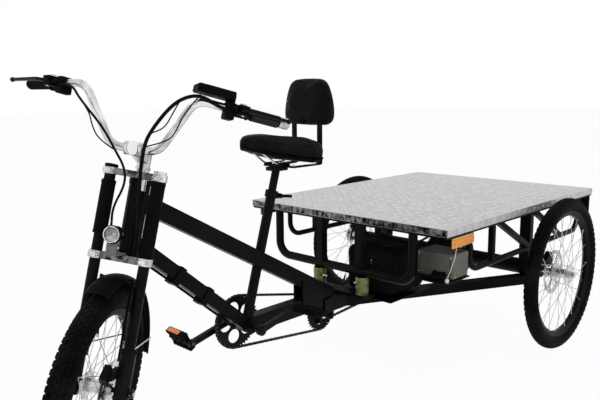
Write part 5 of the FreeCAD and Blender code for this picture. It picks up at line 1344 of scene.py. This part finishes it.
@dataclass
class Fork:
    """Trim of the fork: caps, pinch bolts, wipers, axle nuts, the silver tab and the mudguard."""

    def build(self) -> None:
        """Make the sprung and the unsprung trim."""
        upper = Work("fork_upper_trim", SILVER_ALLOY, BLACK_PLASTIC, BRIGHT_STEEL)
        for sign in SIDES.values():
            leg = Vector((FORK_OFFSET, LEG_HALF * sign, 0.0))
            cap = STEER @ moved(leg + Z * 0.857)
            knob = [(0.0, 0.0105), (0.012, 0.0100), (0.0178, 0.0085), (0.0178, -0.0005), (0.0, -0.0005)]
            upper.lathe(knob, cap, 0 if sign > 0 else 1)
            for height, tall in ((0.848, 0.0092), (0.620, 0.0102)):
                band = [(0.0150, -tall), (0.0206, -tall), (0.0214, 0.001 - tall), (0.0214, tall - 0.001),
                        (0.0206, tall), (0.0150, tall)]
                upper.lathe(band, STEER @ moved(leg + Z * height))
                ear = STEER @ moved(leg + Vector((0.019, 0.0, height)))
                upper.block((0.014, 0.020, 0.014), ear, 0.003)
                upper.bolt(STEER @ aim(leg + Vector((0.019, 0.010, height)), Y), 0.0045, 0.004, 2)
                upper.bolt(STEER @ aim(leg + Vector((0.019, -0.010, height)), -Y), 0.0045, 0.004, 2)
            for height in ((0.634, 0.832) if sign > 0 else (0.680, 0.816)):
                upper.lathe([(0.0188, -0.003), (0.0202, -0.002), (0.0202, 0.002), (0.0188, 0.003)],
                            STEER @ moved(leg + Z * height), 1)
        upper.block((0.003, 0.017, 0.034), STEER @ moved((0.060, 0.030, 0.824)), 0.001)
        upper.block((0.016, 0.017, 0.004), STEER @ moved((0.053, 0.030, 0.839)), 0.001)
        upper.lathe([(0.0, 0.0), (0.0185, 0.0), (0.0185, 0.006), (0.0150, 0.009), (0.0, 0.009)],
                    STEER @ moved((0.0, 0.0, 0.8565)), 2, 6)
        upper.build("steering")
        lower = Work("fork_lower_trim", GRIP_RUBBER, BRIGHT_STEEL, BLACK_ALLOY)
        for sign in SIDES.values():
            leg = Vector((FORK_OFFSET, LEG_HALF * sign, 0.0))
            lower.lathe([(0.0153, 0.0), (0.0225, 0.0), (0.0225, 0.004), (0.0195, 0.009), (0.0162, 0.011),
                         (0.0153, 0.011)], STEER @ moved(leg + Z * 0.374))
            hub = STEER @ Vector((FORK_OFFSET, 0.098 * sign, HUB_REACH))
            out = STEER.to_3x3() @ Y * sign
            lower.lathe(disc(0.006, 0.006, 0.0), aim(hub, out), 1, 14)
            lower.lathe([(0.0, -0.008), (0.0110, -0.008), (0.0125, -0.004), (0.0120, 0.0), (0.0, 0.0)],
                        aim(hub, out), 1, 6)
            foot = leg + Vector((0.0, 0.0, 0.2405))
            lower.lathe([(0.0, -0.004), (0.012, -0.003), (0.0200, 0.004), (0.0205, 0.010), (0.0, 0.010)],
                        STEER @ moved(foot), 2)
        lower.build("fork_lower")
        self._fender()

    @staticmethod
    def _fender() -> None:
        """Roll the mudguard with its curled front lip, its posts and their pegs."""
        work = Work("front_mudguard_shell", BLACK_PLASTIC)
        hub = STEER @ moved((FORK_OFFSET, 0.0, HUB_REACH))
        half, edge, post, thick = 0.035, 0.295, 0.0446, 0.0034
        rings = []
        for step in range(37):
            turn = math.radians(65.0 + step * 107.0 / 36)
            curl = 0.013 * max(0.0, 1.0 - step / 6) ** 2
            outer, inner = [], []
            for place in range(17):
                lean = math.radians(place * 10.0 - 80.0)
                reach = edge - 0.004 + 0.015 * (math.cos(lean) - 0.1736) / 0.8264 - curl
                for row, wall in ((outer, 0.0), (inner, 0.0022)):
                    row.append(hub @ Vector(((reach - wall) * math.cos(turn), (half - wall) * math.sin(lean) / 0.9848,
                                             (reach - wall) * math.sin(turn))))
            rings.append(outer + inner[::-1])
        work.take(loft(rings))
        for sign in SIDES.values():
            top = Vector((0.0, post * sign, edge))
            work.rod(hub @ Vector((0.0, post * sign, 0.0775)), hub @ (top + Z * thick), thick)
            work.rod(hub @ Vector((0.0, (half - 0.001) * sign, edge)), hub @ top, thick - 0.0009)
        work.build("fork_lower", "front_mudguard")


@dataclass
class Headlamp:
    """Round headlamp: black rim, chrome ring, white bowl as a painted reflection, a dark crescent of painted shade,
    fluted glass and bracket.
    """

    place: Matrix

    def build(self) -> None:
        """Turn the lamp and fold its bracket."""
        work = Work("headlamp_shell", GLOSS_BLACK, MIRROR_CHROME, GREY_PLASTIC, BRIGHT_STEEL, WHITE_PLASTIC)
        lamp = self.place @ scaled(0.842, 0.842, 0.872)
        work.lathe([(0.0, 0.0), (0.012, 0.002), (0.020, 0.010), (0.0245, 0.022), (0.0258, 0.036), (0.0260, 0.051),
                    (0.0235, 0.051), (0.0235, 0.030), (0.016, 0.012), (0.0, 0.006)], lamp, steps=48)
        rim = [(0.0225, 0.050), (0.0270, 0.049), (0.0285, 0.0515), (0.0288, 0.056), (0.0280, 0.0600),
               (0.0255, 0.0615), (0.0232, 0.0605), (0.0228, 0.056)]
        work.lathe(rim, lamp, 0, 56)
        work.lathe([(0.0232, 0.0600), (0.0258, 0.0617), (0.0246, 0.0627), (0.0230, 0.0615)], lamp, 1, 56)
        # White diffuse bowl in place of a chrome reflector: its whiteness is a painted reflection.
        bowl = [(0.0, 0.018), (0.006, 0.0185), (0.013, 0.025), (0.019, 0.038), (0.0228, 0.052), (0.0225, 0.053),
                (0.018, 0.039), (0.012, 0.027), (0.005, 0.021), (0.0, 0.0205)]
        work.lathe(bowl, lamp, 4, 48)
        # Dark crescent at the upper left inside the bowl: painted shade, not a part of the lamp.
        shade = ((0.0105, 0.0, 0.0280), (0.0172, 0.0, 0.0415), (0.0214, 0.0, 0.0535))
        work.take(sector(shade, 20, 0.0008), lamp @ turned(150.0, "Z"))
        work.lathe([(0.0, 0.022), (0.0050, 0.022), (0.0050, 0.034), (0.0035, 0.040), (0.0, 0.041)], lamp, 3, 18)
        work.block((0.078, 0.032, 0.005), STEER @ moved((0.093, 0.0, 0.6325)), 0.0015, 2)
        work.block((0.024, 0.028, 0.034), STEER @ moved((0.120, 0.0, 0.648)), 0.004, 2)
        for y in (-0.0145, 0.0145):
            work.bolt(STEER @ aim(Vector((0.120, y * 0.95, 0.652)), Y * (1 if y > 0 else -1)), 0.0042, 0.004, 3)
        work.lathe([(0.0, 0.0), (0.006, 0.0), (0.005, 0.010), (0.0032, 0.014), (0.0, 0.014)],
                   STEER @ aim(Vector((0.098, 0.0, 0.676)), Vector((-0.6, 0.0, -0.8))), 0, 16)
        work.build("steering", "headlamp_body")
        glass = Work("headlamp_glass", LAMP_GLASS)
        glass.lathe([(0.0, 0.0625), (0.010, 0.0620), (0.018, 0.0602), (0.0228, 0.0575), (0.0228, 0.0560),
                     (0.018, 0.0585), (0.010, 0.0603), (0.0, 0.0608)], lamp, 0, 48)
        glass.build("steering", "headlamp_lens")


@dataclass
class Cockpit:
    """Grips, lever trim, pods, display and the stem's bright cap."""

    def build(self) -> None:
        """Make the pieces of both hands and the middle."""
        self._grips()
        for sign in SIDES.values():
            self._controls(sign)
        self._display()
        self._stem()

    @staticmethod
    def _ribs(low: float, high: float, count: int, flange: float) -> list[tuple[float, float]]:
        """Outline of a ribbed grip with a flange at its inner end."""
        outline = [(0.0112, low), (flange, low), (flange, low + 0.004), (0.0158, low + 0.007)]
        step = (high - low - 0.014) / count
        for index in range(count):
            start = low + 0.008 + index * step
            outline += [(0.0150, start), (0.0150, start + step * 0.35), (0.0160, start + step * 0.45),
                        (0.0160, start + step * 0.90)]
        return outline + [(0.0160, high - 0.004), (0.0148, high), (0.0112, high)]

    def _grips(self) -> None:
        """Turn both grips and their end plugs."""
        left, right = grip_frame(1), grip_frame(-1)
        work = Work("grip_left_sleeve", GRIP_RUBBER, GRIP_PAINTED_HIGHLIGHT, BRIGHT_STEEL)
        work.lathe(self._ribs(-0.123, -0.026, 12, 0.0185), left)
        # Grey half sleeve on the grip's lit side: a painted highlight.
        half = ((0.0164, 0.0, -0.108), (0.0164, 0.0, -0.031))
        work.take(sector(half, 16, 0.0012), left @ turned(10.0, "Z"), 1)
        work.lathe([(0.0, 0.004), (0.011, 0.003), (0.0150, 0.0), (0.0156, -0.004), (0.0156, -0.024),
                    (0.0148, -0.0262), (0.0112, -0.0262), (0.0112, -0.004), (0.0, -0.004)], left, 2)
        work.build("steering", "left_grip")
        twist = Work("grip_throttle_sleeve", GRIP_RUBBER)
        twist.lathe([(0.0113, -0.123), (0.0200, -0.123), (0.0202, -0.120), (0.0202, -0.114), (0.0190, -0.111),
                     (0.0158, -0.110)] + self._ribs(-0.110, -0.005, 12, 0.0160)[3:-1] + [(0.0113, -0.005)], right)
        twist.build("throttle", "throttle_grip")
        plug = Work("bar_plug_right", BRIGHT_STEEL)
        plug.lathe([(0.0, 0.003), (0.010, 0.002), (0.0125, 0.0), (0.0125, -0.004), (0.0, -0.004)], right)
        plug.build("steering")

    @staticmethod
    def _controls(sign: int) -> None:
        """Add the lever's pivot screw, cable adjuster, clamp bolt and the pod's buttons."""
        place = grip_frame(sign)
        work = Work("control_trim_" + ("left" if sign > 0 else "right"), BRIGHT_STEEL, BLACK_PLASTIC, GREY_PLASTIC)
        for face in (-1, 1):
            work.bolt(place @ aim(Vector((0.032, 0.013 * face, -0.141)), Y * face), 0.0045, 0.0025)
        work.lathe([(0.0, 0.0), (0.0060, 0.0), (0.0060, 0.008), (0.0045, 0.010), (0.0045, 0.018), (0.0030, 0.022),
                    (0.0, 0.022)], place @ aim(Vector((0.026, 0.0, -0.155)), -Z), 1, 16)
        work.bolt(place @ aim(Vector((-0.0165, 0.0, -0.141)), -X), 0.0040, 0.004)
        up = -sign
        work.block((0.016, 0.009, 0.018), place @ moved((0.018, 0.0150 * up, -0.140)), 0.003)
        drop = 0.014 if sign > 0 else 0.0
        for index, z in enumerate((-0.178, -0.1715, -0.165)):
            work.lathe([(0.0, 0.0028), (0.0022, 0.0026), (0.0028, 0.0018), (0.0028, -0.001), (0.0, -0.001)],
                       place @ aim(Vector((-0.017, -0.008 + drop * 0.6, z)), -X), 2 if index else 0, 14)
        work.block((0.008, 0.016, 0.012), place @ moved((-0.0175, 0.006 + drop, -0.1715)), 0.002, 2)
        work.build("steering")

    @staticmethod
    def _display() -> None:
        """Add the display's dark glass, bezel, keys and hood lines."""
        place = grip_frame(1) @ moved((0.003, -0.0427, -0.219))
        work = Work("display_trim", GLOSS_BLACK, BLACK_PLASTIC, GREY_PLASTIC)
        work.block((0.046, 0.0012, 0.070), place @ moved((0.0, 0.0, 0.012)), 0.0005)
        work.block((0.052, 0.0008, 0.082), place @ moved((0.0, 0.0003, 0.008)), 0.0003, 1)
        for x in (-0.014, 0.0, 0.014):
            work.block((0.009, 0.0020, 0.007), place @ moved((x, -0.0004, -0.040)), 0.0008, 2)
        work.block((0.0590, 0.0012, 0.1050), place @ moved((0.0, 0.0150, 0.0)), 0.0005, 1)
        work.build("steering")

    @staticmethod
    def _stem() -> None:
        """Add the stem's round bright face, its bolts and the column's ring."""
        work = Work("stem_trim", MIRROR_CHROME, BRIGHT_STEEL)
        face = STEER @ aim(Vector((0.106, 0.0, STEM_FACE)), X)
        work.lathe([(0.0, 0.0085), (0.010, 0.0080), (0.0165, 0.0062), (0.0195, 0.0030), (0.0200, -0.003),
                    (0.0, -0.003)], face, 0, 48)
        for y, z in ((-0.021, 0.010), (0.021, 0.010), (-0.021, -0.010), (0.021, -0.010)):
            work.bolt(STEER @ aim(Vector((0.1045, y, STEM_FACE + z)), X), 0.0035, 0.0045, 1)
        work.lathe([(0.0185, 0.0), (0.0215, 0.0005), (0.0215, 0.006), (0.0185, 0.0065)],
                   STEER @ moved((0.0, 0.0, 0.866)), 1)
        work.lathe([(0.0, 0.004), (0.012, 0.003), (0.017, 0.0), (0.0185, -0.004), (0.0, -0.004)],
                   STEER @ moved((0.0, 0.0, 0.911)), 1)
        work.bolt(STEER @ moved((0.0, 0.0, STEM_FACE)), 0.006, 0.004, 1)
        work.build("steering")


def main() -> None:
    """Build the studio and dress the tricycle."""
    logging.basicConfig(level=logging.INFO, format="%(message)s")
    Studio(eye=from_axle(2.6126, 1.5899, 1.0529)).build()
    BarCables().build()
    dress_frame()
    hub = STEER @ moved((FORK_OFFSET, 0.0, HUB_REACH)) @ turned(-90.0, "X")
    Wheel("front", "front_wheel", "front_tyre", hub, 0.275, 0.033, 0.018, Tread.KNOBS, 82).build()
    for side, sign in SIDES.items():
        place = moved(from_axle(0.0, 0.538 * sign, REAR_RADIUS)) @ turned(-90.0 * sign, "X")
        Wheel("rear_" + side, "wheel_" + side, "rear_tyre_" + side, place, REAR_RADIUS, 0.027, 0.013, Tread.ROAD,
              74).build()
    Deck().build()
    Seat().build()
    Bag().build()
    Gear().build()
    Drive(from_axle(1.230, 0.0, 0.288), from_axle(0.817, 0.0, 0.217),
          from_axle(0.0, 0.0, REAR_RADIUS)).build()
    Fork().build()
    Headlamp(STEER @ moved((0.092, 0.0, 0.688)) @ turned(94.0, "Y")).build()
    Cockpit().build()


if __name__ == "__main__":
    main()
